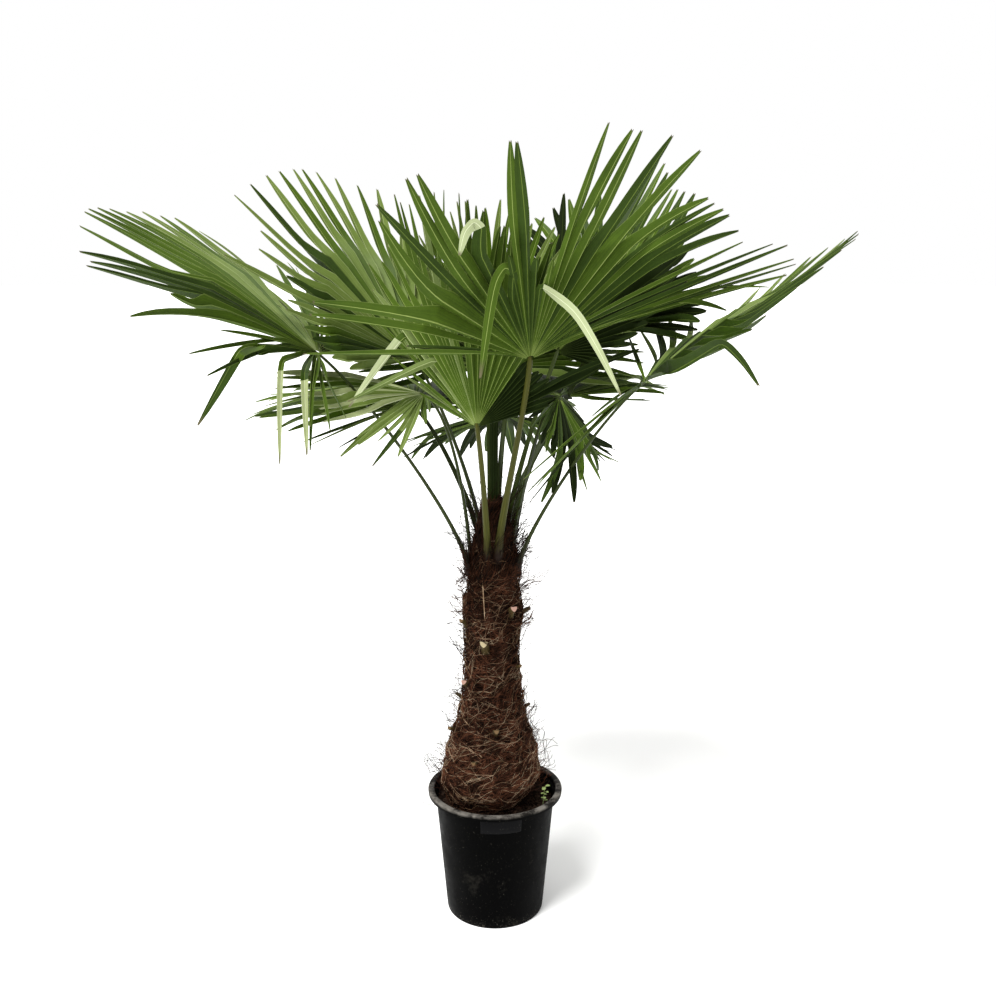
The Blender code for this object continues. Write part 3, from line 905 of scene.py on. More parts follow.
def grow_leaflet(frond, axes, low, high, splits, entry, growth, dice):
    """All rows of one leaflet: the joined rows, the rows where one side is free, the rest."""
    middle = (low + high) / 2
    start = max(splits)
    rows = web_rows(frond, axes, low, high, start)
    ahead = (rows[start][1] - rows[start - 1][1]).normalized()
    across = rows[start][2] - rows[start][0]
    across = (across - ahead * across.dot(ahead)).normalized()
    frame_now = [ahead, across, across.cross(ahead).normalized()]
    offsets = []
    for side, split in zip((0, 2), splits):
        arm = rows[split][side] - rows[split][1]
        offsets.append([arm.dot(axis) for axis in frame_now])
        for k in range(split + 1, start + 1):
            rows[k][side] = rows[k][1] + arm
    foot = rows[start][1]
    stiff = STIFF_START if start > 2 else LOOSE_START
    points = [foot] + leaflet_path(
        frond, axes, entry, middle, foot, ahead, stiff, growth, dice)
    twist = radians(dice.uniform(-MOST_TWIST, MOST_TWIST)) * growth.uneven
    hanging = len(points) > len(FREE_STEPS) + 1
    opens = HANGING_OPENS if hanging else growth.opens
    return rows + strip_rows(points, frame_now, offsets, twist, hanging, opens)


print("least half width", NARROWEST_HALF, "most", WIDEST_HALF)

# %% Fans from leaflets
MISSES_RAY = 7.0         # a leaflet that points further than this from its ray starts low
LEAF_THICKNESS = 0.0008
MERGE_WITHIN = 0.00002   # neighbours' shared margins meet closer than this, in metres
SHARP_FROM = 28          # folds from this angle show as sharp pleats


def add_strip(build, rows, tint, bend, bent_tint):
    """Add one leaflet's rows to a fan's lists; past a bend it shows its other tint."""
    verts, faces, uvs, tints = build
    first = len(verts)
    last = len(rows) - 1
    for k, row in enumerate(rows):
        verts.extend(row)
        if k < last:
            base = first + 3 * k
            v0, v1 = k / last, (k + 1) / last
            for side in (0, 1):
                faces.append((base + side, base + side + 1, base + side + 4, base + side + 3))
                u0, u1 = side / 2, (side + 1) / 2
                uvs.append(((u0, v0), (u1, v0), (u1, v1), (u0, v1)))
                tints.append(2 * (bent_tint if k >= bend else tint))


def grow_fan(frond, growth, seed):
    """All leaflets of one fan, as vertices, faces, UVs and material numbers."""
    dice = Random(seed)
    axes = frond_axes(frond)
    found = leaflet_angles(frond, axes, growth.left, -frond.left.spread, 0.0)
    found += leaflet_angles(frond, axes, growth.right, 0.0, frond.right.spread)
    middles = [angle for angle, share, miss in found]
    edges = [-frond.left.spread]
    edges += [(before + after) / 2 for before, after in zip(middles, middles[1:])]
    edges.append(frond.right.spread)
    splits = [SPLIT_AT + dice.choice((-1, 0, 0, 1, 1)) for edge in edges]
    splits[0] = splits[-1] = 1
    for i, (angle, share, miss) in enumerate(found):
        last = max(1, sum(web < share - 0.06 for web in WEB_SHARES))
        loose = i < growth.loose[0] or i >= len(found) - growth.loose[1]
        if loose or miss > MISSES_RAY:
            last = min(last, dice.choice((1, 2)))
        splits[i] = min(splits[i], last)
        splits[i + 1] = min(splits[i + 1], last)
    bent_tints = list(growth.bent_tints)
    build = ([], [], [], [])
    for i, entry in enumerate(growth.left + growth.right):
        low, high = edges[i], edges[i + 1]
        rows = grow_leaflet(
            frond, axes, low, high, (splits[i], splits[i + 1]), entry, growth, dice)
        bent = isinstance(entry, tuple) and isinstance(entry[0], tuple)
        tint = dice.choice(growth.left_tints if low < 0 else growth.right_tints)
        # outer leaflets that lie behind other fans get the shade tint, as painted shade
        if i < growth.shaded[0] or i >= len(found) - growth.shaded[1]:
            tint = SHADE
        bend = max(splits[i], splits[i + 1]) + len(FREE_STEPS) if bent else len(rows)
        add_strip(build, rows, tint, bend, bent_tints.pop(0) if bent else tint)
    return build


def add_thickness(holder):
    """Give a fan's sheet the leaf's real thickness, with the paler side below."""
    for finish in LEAF_FINISHES:
        holder.data.materials.append(finish)
    wall = holder.modifiers.new("Thickness", "SOLIDIFY")
    wall.thickness = LEAF_THICKNESS
    wall.offset = -1.0
    wall.material_offset = 1
    wall.material_offset_rim = 1


def fan_piece(frond, growth, seed):
    """One fan as a finished piece: merged where it is joined, with sharp pleats."""
    name = f"fan_{frond.name}"
    mesh = build_mesh(name, *grow_fan(frond, growth, seed))
    work = bmesh.new()
    work.from_mesh(mesh)
    bmesh.ops.remove_doubles(work, verts=work.verts, dist=MERGE_WITHIN)
    for edge in work.edges:
        edge.smooth = len(edge.link_faces) == 2 and edge.calc_face_angle(0.0) < radians(SHARP_FROM)
    work.to_mesh(mesh)
    work.free()
    solid = evaluated_mesh(mesh, name, add_thickness)
    return place_piece(name, solid, None, "blade", f"blade_{frond.name}")


for i, frond in enumerate(FRONDS):
    fan_piece(frond, GROWTH[frond.name], 11 + i)

# %% [markdown]
# ## Stalks
#
# A fan hangs on a long stalk that is flat above and rounded below. It widens at its foot,
# where it clasps the stem. The path is the frame's own: it rises from its ledge and then
# runs nearly straight to the hub. A curve with a bevel would give a round rod, so the
# half-round section is swept along the path in a loop. The same sweep also makes the cut
# leaf bases and the straps of old sheath further down.

# %% Sweeping a section
# Half-round section, as (sideways, upward) shares of its half width
HALF_ROUND = (
    (-1.0, 0.14), (-0.90, 0.30), (-0.45, 0.29), (0.0, 0.27), (0.45, 0.29), (0.90, 0.30),
    (1.0, 0.14), (0.76, -0.26), (0.40, -0.58), (0.0, -0.74), (-0.40, -0.58), (-0.76, -0.26),
)


def sweep(points, upper, halves, name, cut=0, flat=1.0):
    """Sweep the half-round section along points, with a half width for each."""
    last = len(points) - 1
    rings = []
    for row, (place, half) in enumerate(zip(points, halves)):
        ahead = (points[min(row + 1, last)] - points[max(row - 1, 0)]).normalized()
        side = ahead.cross(upper).normalized()
        rise = side.cross(ahead).normalized()
        rings.append([place + side * across * half + rise * up * half * flat
                      for across, up in HALF_ROUND])
    along = [row / last for row in range(last + 1)]
    verts, faces, uvs = join_rings(
        rings, even_pairs(len(HALF_ROUND)), along, flipped=True, closed=True)
    uvs += [[(0.5 + 0.4 * across, 0.5 + 0.4 * up) for across, up in HALF_ROUND]] * 2
    mesh = build_mesh(name, verts, faces, uvs, [0] * (len(faces) - 1) + [cut])
    face_outward(mesh)
    for face in mesh.polygons:
        face.use_smooth = len(face.vertices) == 4
    return mesh


print("section of", len(HALF_ROUND), "points")

# %% Stalk finish


def stalk_material(name, green, edge, base):
    """A smooth waxy stalk, yellower along its streaks and brown at its foot."""
    material, node, shader, coords = new_material(name, 0.48, LEAF_GLOSS)
    split = node(AXES, {"Vector": coords["UV"]})
    streaks = node(STRETCH, {"Vector": coords["UV"], "Scale": (14.0, 1.5, 1.0)})
    grain = node(NOISE, {"Vector": streaks, "Scale": 3.0, "Detail": 3.0})
    body = node(RAMP, {"Fac": grain}, stops=((0.30, green), (0.75, edge)))
    low = node(MATH, {0: grain, 1: 0.16, 2: split.outputs["Y"]}, operation="MULTIPLY_ADD")
    brown = node(RANGE, {"Value": low}, span=(0.16, 0.34, 1.0, 0.0))
    mixed = node(MIX, {0: brown, 6: body, 7: linear(base)}, data_type="RGBA")
    relief = node(BUMP, {"Height": grain, "Strength": 0.25, "Distance": 0.001})
    fill(shader, {"Base Color": mixed, "Normal": relief})
    return material


# Lit and shaded copies of one stalk finish: the lighter one is painted sunlight, the darker one
# painted shade.
SUNLIT_STALK = stalk_material("smooth olive stalk", "2A300A", "4C4A18", "1A0F08")
SHADED_STALK = stalk_material("shaded green stalk", "1A2408", "303A12", "160E08")
print(SUNLIT_STALK.name, "and", SHADED_STALK.name)

# %% Stalks
STALK_ROWS = 26
STALK_WIDTH = ((0.0, 0.0200), (0.06, 0.0160), (0.18, 0.0098), (0.5, 0.0076), (0.93, 0.0064),
               (0.985, 0.0060), (1.0, 0.0030))
# the stalks that get the lighter finish, as painted sunlight
SUNLIT = ("front_high", "front_centre")


def stalk_point(frond, share):
    """A point of a stalk's path, from its foot (0) to the hub (1)."""
    along = frond_axes(frond)[0]
    foot = stalk_foot(frond)
    tip = Vector(frond.hub) + along * 0.0094
    span = (tip - foot).length
    handles = (foot, foot + Vector((0, 0, STALK_RISE * span)), tip - along * STALK_NOD * span, tip)
    rest = 1 - share
    weights = (rest ** 3, 3 * share * rest ** 2, 3 * share * share * rest, share ** 3)
    return sum((weight * handle for weight, handle in zip(weights, handles)), Vector())


def stalk_piece(frond):
    """One stalk as a finished piece."""
    shares = [i / (STALK_ROWS - 1) for i in range(STALK_ROWS)]
    points = [stalk_point(frond, share) for share in shares]
    halves = [along_table(STALK_WIDTH, share) for share in shares]
    mesh = sweep(points, frond_axes(frond)[1], halves, f"leafstalk_{frond.name}")
    finish = SUNLIT_STALK if frond.name in SUNLIT else SHADED_STALK
    return place_piece(
        f"leafstalk_{frond.name}", mesh, [finish], "stalk", f"stalk_{frond.name}")


for frond in FRONDS:
    stalk_piece(frond)

# %% [markdown]
# ## The new leaf
#
# In the middle of the head stands the newest leaf, still folded like a closed fan. Its
# pleats show as fine lines along it. It is a tall narrow star in section, which thins
# towards the tip.

# %% Folded new leaf
SPEAR_PLEATS = 9
SPEAR_ROWS = 18
SPEAR_LENGTH = 0.50
SPEAR_RADIUS = 0.011
PLEAT_VALLEY = 0.72      # radius in the folds beside the radius on the ribs


def spear_piece():
    """A closed fan: a star section that swells a little and then tapers."""
    foot = stem_middle(STEM_TOP + SEAT_GAP)
    sides = 2 * SPEAR_PLEATS
    shares = [row / SPEAR_ROWS for row in range(SPEAR_ROWS + 1)]
    rings = []
    for share in shares:
        radius = SPEAR_RADIUS * (0.75 + 0.5 * share) * sqrt(max(0.0, 1 - share ** 3)) + 0.0004
        ring = []
        for i in range(sides):
            turn = 2 * pi * i / sides + 0.5 * share
            reach = radius * (1.0 if i % 2 else PLEAT_VALLEY)
            rise = SPEAR_LENGTH * share
            ring.append(foot + Vector((reach * cos(turn), reach * 0.7 * sin(turn), rise)))
        rings.append(ring)
    across = [(0.0, 0.5), (0.5, 1.0)] * SPEAR_PLEATS
    along = [0.3 + 0.6 * share for share in shares]
    verts, faces, uvs = join_rings(rings, across, along, closed=True)
    uvs += [((0.3, 0.3),) * sides, ((0.3, 0.9),) * sides]
    mesh = build_mesh("folded_new_leaf", verts, faces, uvs, smooth=False)
    # the folded leaf wears the shade tint, as painted shade from the head around it
    return place_piece("folded_new_leaf", mesh, [LEAF_FINISHES[2 * SHADE]], "stalk", "spear")


spear_piece()

# %% [markdown]
# ## The stem
#
# A windmill palm keeps the fibrous sheaths of its old leaves, so its stem is a woody core
# inside a thick brown mat. The mat's own relief is a turned shape, pushed in and out by
# noise: broad lumps, the stepped edges of old sheaths, and fine ridges where strands wrap
# round. A plain cylinder with a bump map would keep a straight edge against the sky.

# %% Stem finish


def fibre_mat_material():
    """Matted palm fibre: dry, rough, with long strands from nearly black to tan."""
    material, node, shader, coords = new_material("matted palm fibre", 0.9, DRY_GLOSS)
    swirl = node(NOISE, {"Vector": coords["UV"], "Scale": 9.0, "Detail": 3.0})
    bent = node(MIX, {0: 0.10, 4: coords["UV"], 5: swirl.outputs["Color"]}, data_type="VECTOR")
    # strands are about 0.5 mm wide on the real mat; drawn at 2 mm, so that they show
    wraps = node(STRETCH, {"Vector": bent, "Scale": (9.0, 130.0, 1.0), "Rotation": (0, 0, 0.12)})
    climbs = node(STRETCH, {"Vector": bent, "Scale": (12.0, 110.0, 1.0), "Rotation": (0, 0, -0.55)})
    strands = node(NOISE, {"Vector": wraps, "Scale": 3.0, "Detail": 4.0, "Roughness": 0.65})
    others = node(NOISE, {"Vector": climbs, "Scale": 3.0, "Detail": 4.0, "Roughness": 0.65})
    both = node(MATH, {0: strands, 1: others}, operation="MULTIPLY")
    browns = ((0.17, "060302"), (0.27, "20120B"), (0.36, "472C1F"), (0.49, "7C6048"))
    colour = node(RAMP, {"Fac": both}, stops=browns)
    relief = node(BUMP, {"Height": both, "Strength": 0.9, "Distance": 0.004})
    fill(shader, {"Base Color": colour, "Normal": relief})
    return material


FIBRE_MAT = fibre_mat_material()
print(FIBRE_MAT.name)

# %% Stem relief
STEM_SIDES = 128
STEM_STEP = 0.0036
SHEATH_STEP = 0.052      # height from one old sheath's edge to the next
FOOT_PINCH = 0.034       # how much thinner the mat is where it meets the compost
PINCH_HEIGHT = 0.075
MAT_INSET = 0.003        # room for the loose fibre outside the mat
LUMP_RELIEF = 0.007      # how far each kind of relief reaches, in metres
STEP_RELIEF = 0.009
WRAP_RELIEF = 0.0032
FUZZ_RELIEF = 0.0018


def stem_relief(turn, height):
    """How far the mat stands out of its plain profile, in metres."""
    out = around(turn)
    lumps = noise.noise(out * 1.6 + Vector((0, 0, height * 8))) * LUMP_RELIEF
    sheath = (height / SHEATH_STEP + 1.7 * turn / pi
              + 0.6 * noise.noise(out * 1.3 + Vector((3, 0, height * 5)))) % 1.0
    step = (sheath ** 1.5 - 0.4) * STEP_RELIEF
    wraps = noise.noise(out * 3.0 + Vector((0, 5, height * 95))) * WRAP_RELIEF
    fuzz = noise.noise(out * 14.0 + Vector((9, 0, height * 190))) * FUZZ_RELIEF
    return lumps + step + wraps + fuzz


def stem_reach(turn, height):
    """The mat's radius at a turn and a height, pinched in where it meets the compost."""
    fade = min(1.0, (STEM_TOP - height) / 0.03)
    reach = stem_radius(height) - MAT_INSET + stem_relief(turn, height) * fade
    pinch = min(1.0, max(0.0, 1 - (height - SOIL_TOP) / PINCH_HEIGHT)) ** 1.4
    return reach - FOOT_PINCH * pinch * (1 + 0.45 * cos(turn))


def stem_piece():
    """The mat as one closed turned shape with its relief."""
    low = SOIL_TOP - 0.012
    rows = int((STEM_TOP - low) / STEM_STEP) + 1
    heights = [low + (STEM_TOP - low) * row / rows for row in range(rows + 1)]
    turns = [2 * pi * i / STEM_SIDES for i in range(STEM_SIDES)]
    rings = [[stem_middle(height) + around(turn, stem_reach(turn, height)) for turn in turns]
             for height in heights]
    verts, faces, uvs = join_rings(rings, even_pairs(STEM_SIDES, 0.5), heights, closed=True)
    uvs += [((0.1, low),) * STEM_SIDES, ((0.1, STEM_TOP),) * STEM_SIDES]
    mesh = build_mesh("stem_mat", verts, faces, uvs)
    return place_piece("stem_mat", mesh, [FIBRE_MAT], "trunk", "trunk")


stem = stem_piece()

# %% [markdown]
# ## Loose fibre
#
# Over the mat lie thousands of single strands. Most wrap round the stem, some stand off
# in loops, and a fringe of whiskers sticks out against the sky. Geometry Nodes suits
# this: it scatters points over the stem's surface, stands a short line on each, combs the
# line back to the surface, and gives it a thin round section. One tree with named inputs
# makes every family, from the close dark mat to the long whiskers. Real strands are
# 0.3 to 0.5 mm thick; these are up to twice that, so that fewer of them cover the stem.

# %% Trees and growing


def new_node_group(name, inputs):
    """An empty geometry tree that takes a geometry and some named inputs."""
    tree = bpy.data.node_groups.new(name, "GeometryNodeTree")
    tree.interface.new_socket("Geometry", in_out="INPUT", socket_type="NodeSocketGeometry")
    tree.interface.new_socket("Geometry", in_out="OUTPUT", socket_type="NodeSocketGeometry")
    for label, kind in inputs:
        tree.interface.new_socket(label, in_out="INPUT", socket_type=f"NodeSocket{kind}")
    given = tree.nodes.new("NodeGroupInput")
    result = tree.nodes.new("NodeGroupOutput")
    return tree, partial(add_node, tree), given.outputs, result


def grown(name, surface, tree, values):
    """Run a tree on a surface with its named inputs, and return the plain mesh."""
    def add_modifier(holder):
        growth = holder.modifiers.new("Growth", "NODES")
        growth.node_group = tree
        for item in tree.interface.items_tree:
            if item.in_out == "INPUT" and item.name in values:
                growth[item.identifier] = values[item.name]
    mesh = evaluated_mesh(surface.copy(), name, add_modifier)
    mesh.validate()
    return mesh


print("a tree grows from a geometry and its named inputs")

# %% Fibre tree


def fibre_tree():
    """Strands on a surface: scattered, stood up, combed back, and thickened."""
    tree, node, take, result = new_node_group("palm_fibre", (
        ("Density", "Float"), ("Shortest", "Float"), ("Longest", "Float"), ("Tilt", "Float"),
        ("Outward", "Float"), ("Rise", "Float"), ("Cling", "Float"), ("Lift", "Float"),
        ("Wander", "Float"), ("Thickness", "Float"), ("Points", "Int"), ("Seed", "Int"),
        ("Finish", "Material")))
    spots = node("GeometryNodeDistributePointsOnFaces", {
        "Mesh": take["Geometry"], "Density": take["Density"], "Seed": take["Seed"]})
    normal = spots.outputs["Normal"]
    level = node(VECTORS, {0: (0.0, 0.0, 1.0), 1: normal}, operation="CROSS_PRODUCT")
    least = node(MATH, {0: take["Tilt"], 1: -1.0}, operation="MULTIPLY")
    tilt = node(RANDOM, {2: least, 3: take["Tilt"], "Seed": take["Seed"]}, data_type="FLOAT")
    tilted = node("ShaderNodeVectorRotate", {
        "Vector": level, "Axis": normal, "Angle": tilt}, rotation_type="AXIS_ANGLE")
    leaning = node(VECTORS, {0: normal, 1: take["Outward"], 2: tilted}, operation="MULTIPLY_ADD")
    upward = node("ShaderNodeCombineXYZ", {"Z": take["Rise"]})
    aim = node(VECTORS, {0: leaning, 1: upward}, operation="ADD")
    turn = node("FunctionNodeAlignRotationToVector", {"Vector": aim}, axis="X")
    length = node(RANDOM, {
        2: take["Shortest"], 3: take["Longest"], "Seed": take["Seed"]}, data_type="FLOAT")
    line = node("GeometryNodeCurvePrimitiveLine", {"End": (1.0, 0.0, 0.0)})
    cut = node("GeometryNodeResampleCurve", {"Curve": line, "Count": take["Points"]})
    stood = node("GeometryNodeInstanceOnPoints", {
        "Points": spots, "Instance": cut, "Rotation": turn, "Scale": length})
    strands = node("GeometryNodeRealizeInstances", {"Geometry": stood})

    # each point wanders, is pulled back to the surface, and stands off it a little
    place = node("GeometryNodeInputPosition")
    share = node("GeometryNodeSplineParameter")
    swirl = node(NOISE, {"Vector": place, "Scale": 13.0, "Detail": 1.0})
    centred = node(VECTORS, {0: swirl.outputs["Color"], 1: (0.5, 0.5, 0.5)}, operation="SUBTRACT")
    sway = node(MATH, {0: take["Wander"], 1: share}, operation="MULTIPLY")
    own = node(VECTORS, {0: centred, 1: sway, 2: place}, operation="MULTIPLY_ADD")
    near = node("GeometryNodeProximity", {
        0: take["Geometry"], "Source Position": own}, target_element="FACES")
    facing = node("GeometryNodeInputNormal")
    out = node("GeometryNodeSampleNearestSurface", {
        "Mesh": take["Geometry"], "Value": facing, "Sample Position": own},
        data_type="FLOAT_VECTOR")
    loft = node(MATH, {0: swirl, 1: take["Lift"]}, operation="MULTIPLY")
    combed = node(VECTORS, {0: out, 1: loft, 2: near}, operation="MULTIPLY_ADD")
    chosen = node(MIX, {0: take["Cling"], 4: own, 5: combed}, data_type="VECTOR")
    laid = node("GeometryNodeSetPosition", {"Geometry": strands, "Position": chosen})

    taper = node(RANGE, {"Value": share}, span=(0.0, 1.0, 1.0, 0.35))
    tapered = node("GeometryNodeSetCurveRadius", {"Curve": laid, "Radius": taper})
    ring = node("GeometryNodeCurvePrimitiveCircle", {"Resolution": 3, "Radius": take["Thickness"]})
    skin = node("GeometryNodeCurveToMesh", {
        "Curve": tapered, "Profile Curve": ring, "Fill Caps": True})
    whole = node("GeometryNodeRealizeInstances", {"Geometry": skin})
    painted = node("GeometryNodeSetMaterial", {"Geometry": whole, "Material": take["Finish"]})
    fill(result, {"Geometry": painted})
    return tree


PALM_FIBRE = fibre_tree()
print(len(PALM_FIBRE.nodes), "nodes")

# %% Fibre finishes


def strand_material(name, dark, light):
    """Dry palm fibre: a dull brown, darker near the head as painted shade from the leaves above,
    and darker at its foot by the compost.
    """
    material, node, shader, coords = new_material(name, 0.75, DRY_GLOSS)
    patches = node(NOISE, {"Vector": coords["Object"], "Scale": 70.0, "Detail": 3.0})
    broad = node(NOISE, {"Vector": coords["Object"], "Scale": 13.0, "Detail": 2.0})
    uneven = node(MIX, {0: 0.5, 2: patches, 3: broad}, data_type="FLOAT")
    colour = node(RAMP, {"Fac": uneven}, stops=((0.41, dark), (0.60, light)))
    split = node(AXES, {"Vector": coords["Object"]})
    # painted shade: darker towards the head, where the leaves shade the fibre; the newer fibre
    # there is darker too
    young = node(RANGE, {"Value": split.outputs["Z"]}, span=(0.80, 1.02, 0.0, 0.65))
    # darker at the foot, just above the compost
    damp = node(RANGE, {"Value": split.outputs["Z"]}, span=(0.33, 0.385, 0.85, 0.0))
    darker = node(MATH, {0: young, 1: damp}, operation="MAXIMUM")
    toned = node(MIX, {0: darker, 6: colour, 7: linear(dark)}, data_type="RGBA")
    fill(shader, {"Base Color": toned})
    return material


DARK_FIBRE = strand_material("dark palm fibre", "0F0906", "2E1C14")
RED_FIBRE = strand_material("red brown palm fibre", "2C1910", "6A4431")
TAN_FIBRE = strand_material("tan palm fibre", "6E563F", "B4A085")
print(DARK_FIBRE.name, RED_FIBRE.name, TAN_FIBRE.name, sep=", ")

# %% Fibre families
Fibre = namedtuple("Fibre", "name finish density shortest longest tilt outward rise cling "
                            "lift wander thickness points")


def grow_fibres(families, ground, first_seed, slot):
    """Grow each family from a ground mesh, as a finished piece."""
    for i, fibre in enumerate(families):
        values = {field.capitalize(): value for field, value in fibre._asdict().items()}
        strands = grown(fibre.name, ground, PALM_FIBRE, {**values, "Seed": first_seed + i})
        place_piece(fibre.name, strands, None, slot)


FIBRES = (
    Fibre("fibre_dark", DARK_FIBRE, 6500, 0.07, 0.15, 0.75, 0.0, 0.0, 1.0, 0.010, 0.075,
          0.00055, 7),
    Fibre("fibre_red", RED_FIBRE, 6000, 0.06, 0.14, 0.60, 0.0, 0.1, 1.0, 0.012, 0.080,
          0.00040, 7),
    Fibre("fibre_tan", TAN_FIBRE, 1500, 0.07, 0.16, 0.70, 0.0, 0.2, 1.0, 0.014, 0.085,
          0.00034, 8),
    Fibre("fibre_loops", RED_FIBRE, 1500, 0.05, 0.11, 1.3, 0.35, 0.3, 0.45, 0.022, 0.12,
          0.00040, 9),
    Fibre("fibre_whiskers", DARK_FIBRE, 1300, 0.035, 0.095, 1.5, 0.75, 0.7, 0.0, 0.0, 0.16,
          0.00070, 8),
)
grow_fibres(FIBRES, stem.data, 5, "trunk")

# %% [markdown]
# ## Cut leaf bases
#
# Each old leaf was cut off close to the stem, which leaves a short flattened stub that
# points up and out, with a pale fibrous face where the knife went through. The stubs that
# the photograph shows are placed by it, and the others follow the spiral in which a palm
# sets its leaves, on the sides and back of the stem.

# %% Cut faces


def cut_face_material(name, pale, dark):
    """Cut palm stalk: pale, dry, with the dark dots of its fibres."""
    dots = ("ShaderNodeTexVoronoi", {"Scale": 420.0})
    return grained_material(name, dots, ((0.05, dark), (0.25, pale)), 0.85, 0.4, 0.001)


CREAM_CUT = cut_face_material("cream cut leaf base", "9A8E70", "6E6046")
PINK_CUT = cut_face_material("pink cut leaf base", "98796C", "6B5046")
OLD_CUT = cut_face_material("weathered cut leaf base", "5E4C36", "3C2E20")
STUB_SIDE = stalk_material("dry leaf base", "2C2412", "4E4226", "160E08")
print(CREAM_CUT.name, PINK_CUT.name, OLD_CUT.name, STUB_SIDE.name, sep=", ")

# %% Leaf bases
CREAM, PINK, OLD = 1, 2, 3      # places of the cut colours in the piece's materials
# (pixel of the cut face, width and length in metres, cut colour)
SEEN_STUBS = (
    ((511, 606), 0.022, 0.034, PINK), ((466, 618), 0.016, 0.030, OLD),
    ((485, 641), 0.026, 0.042, CREAM), ((468, 679), 0.020, 0.036, PINK),
    ((516, 663), 0.012, 0.022, OLD), ((496, 728), 0.017, 0.026, OLD),
    ((455, 725), 0.014, 0.026, OLD), ((475, 760), 0.014, 0.022, OLD),
)
SPIRAL_STUBS = 26
STUB_FACING = 0.6        # how far the stubs in front turn from straight out to the viewer
GOLDEN_TURN = 2.39996    # a palm sets each leaf about 137.5 degrees round from the last


def stub_mesh(place, bearing, width, length, cut):
    """One stub: broad where it clasps the stem, flattened, cut straight across."""
    out = around(bearing)
    up = Vector((0, 0, 1))
    foot = place - up * length * 0.95 - out * 0.012
    points = []
    halves = []
    for i in range(6):
        share = i / 5
        points.append(foot + up * length * share * (1.25 - 0.25 * share)
                      + out * (0.018 * share + 0.020 * share * share))
        halves.append(width / 2 * (1.30 - 0.50 * share))
    return sweep(points, -out, halves, "stub", cut=cut, flat=1.5)


def stub_piece():
    """All leaf bases as one piece."""
    dice = Random(7)
    stubs = []
    for (x, y), width, length, cut in SEEN_STUBS:
        place, bearing = on_stem(x, y)
        bearing = STUB_FACING * -pi / 2 + (1 - STUB_FACING) * bearing
        stubs.append(stub_mesh(place, bearing, width, length, cut))
    for i in range(SPIRAL_STUBS):
        bearing = GOLDEN_TURN * i
        height = 0.40 + 0.58 * i / SPIRAL_STUBS + dice.uniform(-0.01, 0.01)
        if sin(bearing) < 0.05:
            continue
        place = stem_middle(height) + around(bearing, stem_radius(height))
        width = dice.uniform(0.012, 0.019)
        length = dice.uniform(0.022, 0.040)
        stubs.append(stub_mesh(place, bearing, width, length, dice.choice((PINK, OLD))))
    finishes = [STUB_SIDE, CREAM_CUT, PINK_CUT, OLD_CUT]
    return place_piece("cut_leaf_bases", joined("cut_leaf_bases", stubs), finishes, "trunk")


stub_piece()

# %% [markdown]
# ## Old sheath straps and the fringe at the top
#
# Where the stalks leave the stem, each foot is wrapped in a torn sheath. Its stiff
# pale edges cross the stem as straps, and its fibres stand up between the stalks as a
# ragged fringe. The straps are swept like the stalks. The fringe grows by the fibre tree
# from a plain sleeve that is used only as a place to grow from.

# %% Straps
# pixels along each strap, and its half width in metres
SEEN_STRAPS = (
    (((488, 541), (478, 551), (466, 564)), 0.0022),
    (((516, 562), (503, 568), (489, 579)), 0.0022),
    (((482, 560), (484, 590), (486, 632)), 0.0012),
)


def strap_piece():
    """The pale edges of torn sheaths, laid on the stem."""
    straps = []
    for pixels, half in SEEN_STRAPS:
        points = []
        for (x0, y0), (x1, y1) in zip(pixels, pixels[1:]):
            for share in (0.0, 0.25, 0.5, 0.75):
                place, bearing = on_stem(x0 + (x1 - x0) * share, y0 + (y1 - y0) * share)
                points.append(place + around(bearing, 0.006))
        count = len(points)
        halves = [half * (0.45 + 0.55 * sin(pi * (i + 0.6) / count)) for i in range(count)]
        straps.append(sweep(points, Vector((0, -1, 0.4)), halves, "strap", flat=0.5))
    return place_piece("sheath_straps", joined("sheath_straps", straps), [TAN_FIBRE], "trunk")


strap_piece()

# %% Fringe
SLEEVE = ((0.955, 0.072), (1.00, 0.056), (1.05, 0.044), (1.10, 0.032), (1.15, 0.022))
SLEEVE_SIDES = 24


def sleeve_mesh():
    """The plain sleeve round the stalks' feet that the fringe grows from."""
    rings = [circle(stem_middle(height), radius, SLEEVE_SIDES) for height, radius in SLEEVE]
    return build_mesh("sleeve", *join_rings(rings))


FRINGES = (
    Fibre("fringe_dark", DARK_FIBRE, 24000, 0.05, 0.13, 0.5, 0.0, 2.6, 0.75, 0.012, 0.05,
          0.00050, 7),
    Fibre("fringe_red", RED_FIBRE, 12000, 0.04, 0.12, 0.7, 0.05, 2.0, 0.65, 0.016, 0.06,
          0.00042, 8),
    Fibre("fringe_loose", DARK_FIBRE, 4500, 0.05, 0.12, 1.4, 1.0, 1.2, 0.0, 0.0, 0.18,
          0.00065, 9),
)
# (bearing in degrees, height) of tufts that stand out from the edges of old sheaths
TUFTS = ((178, 0.94), (192, 0.90), (170, 0.86), (200, 0.96), (-4, 0.92), (8, 0.99), (-12, 0.83),
         (-20, 1.01), (-95, 0.93), (-60, 0.97), (90, 0.92), (60, 0.86), (120, 0.97))
TUFT_HALF = 0.014


def tuft_mesh():
    """Small patches just inside the stem's surface for the tufts to grow from."""
    verts = []
    for bearing, height in TUFTS:
        turn = radians(bearing)
        place = stem_middle(height) + around(turn, stem_radius(height) - 0.006)
        side = around(turn + pi / 2, TUFT_HALF)
        for across, up in ((-1, -1), (1, -1), (1, 1), (-1, 1)):
            verts.append(place + side * across + Vector((0, 0, TUFT_HALF * up)))
    return build_mesh("tufts", verts, [range(i, i + 4) for i in range(0, len(verts), 4)])


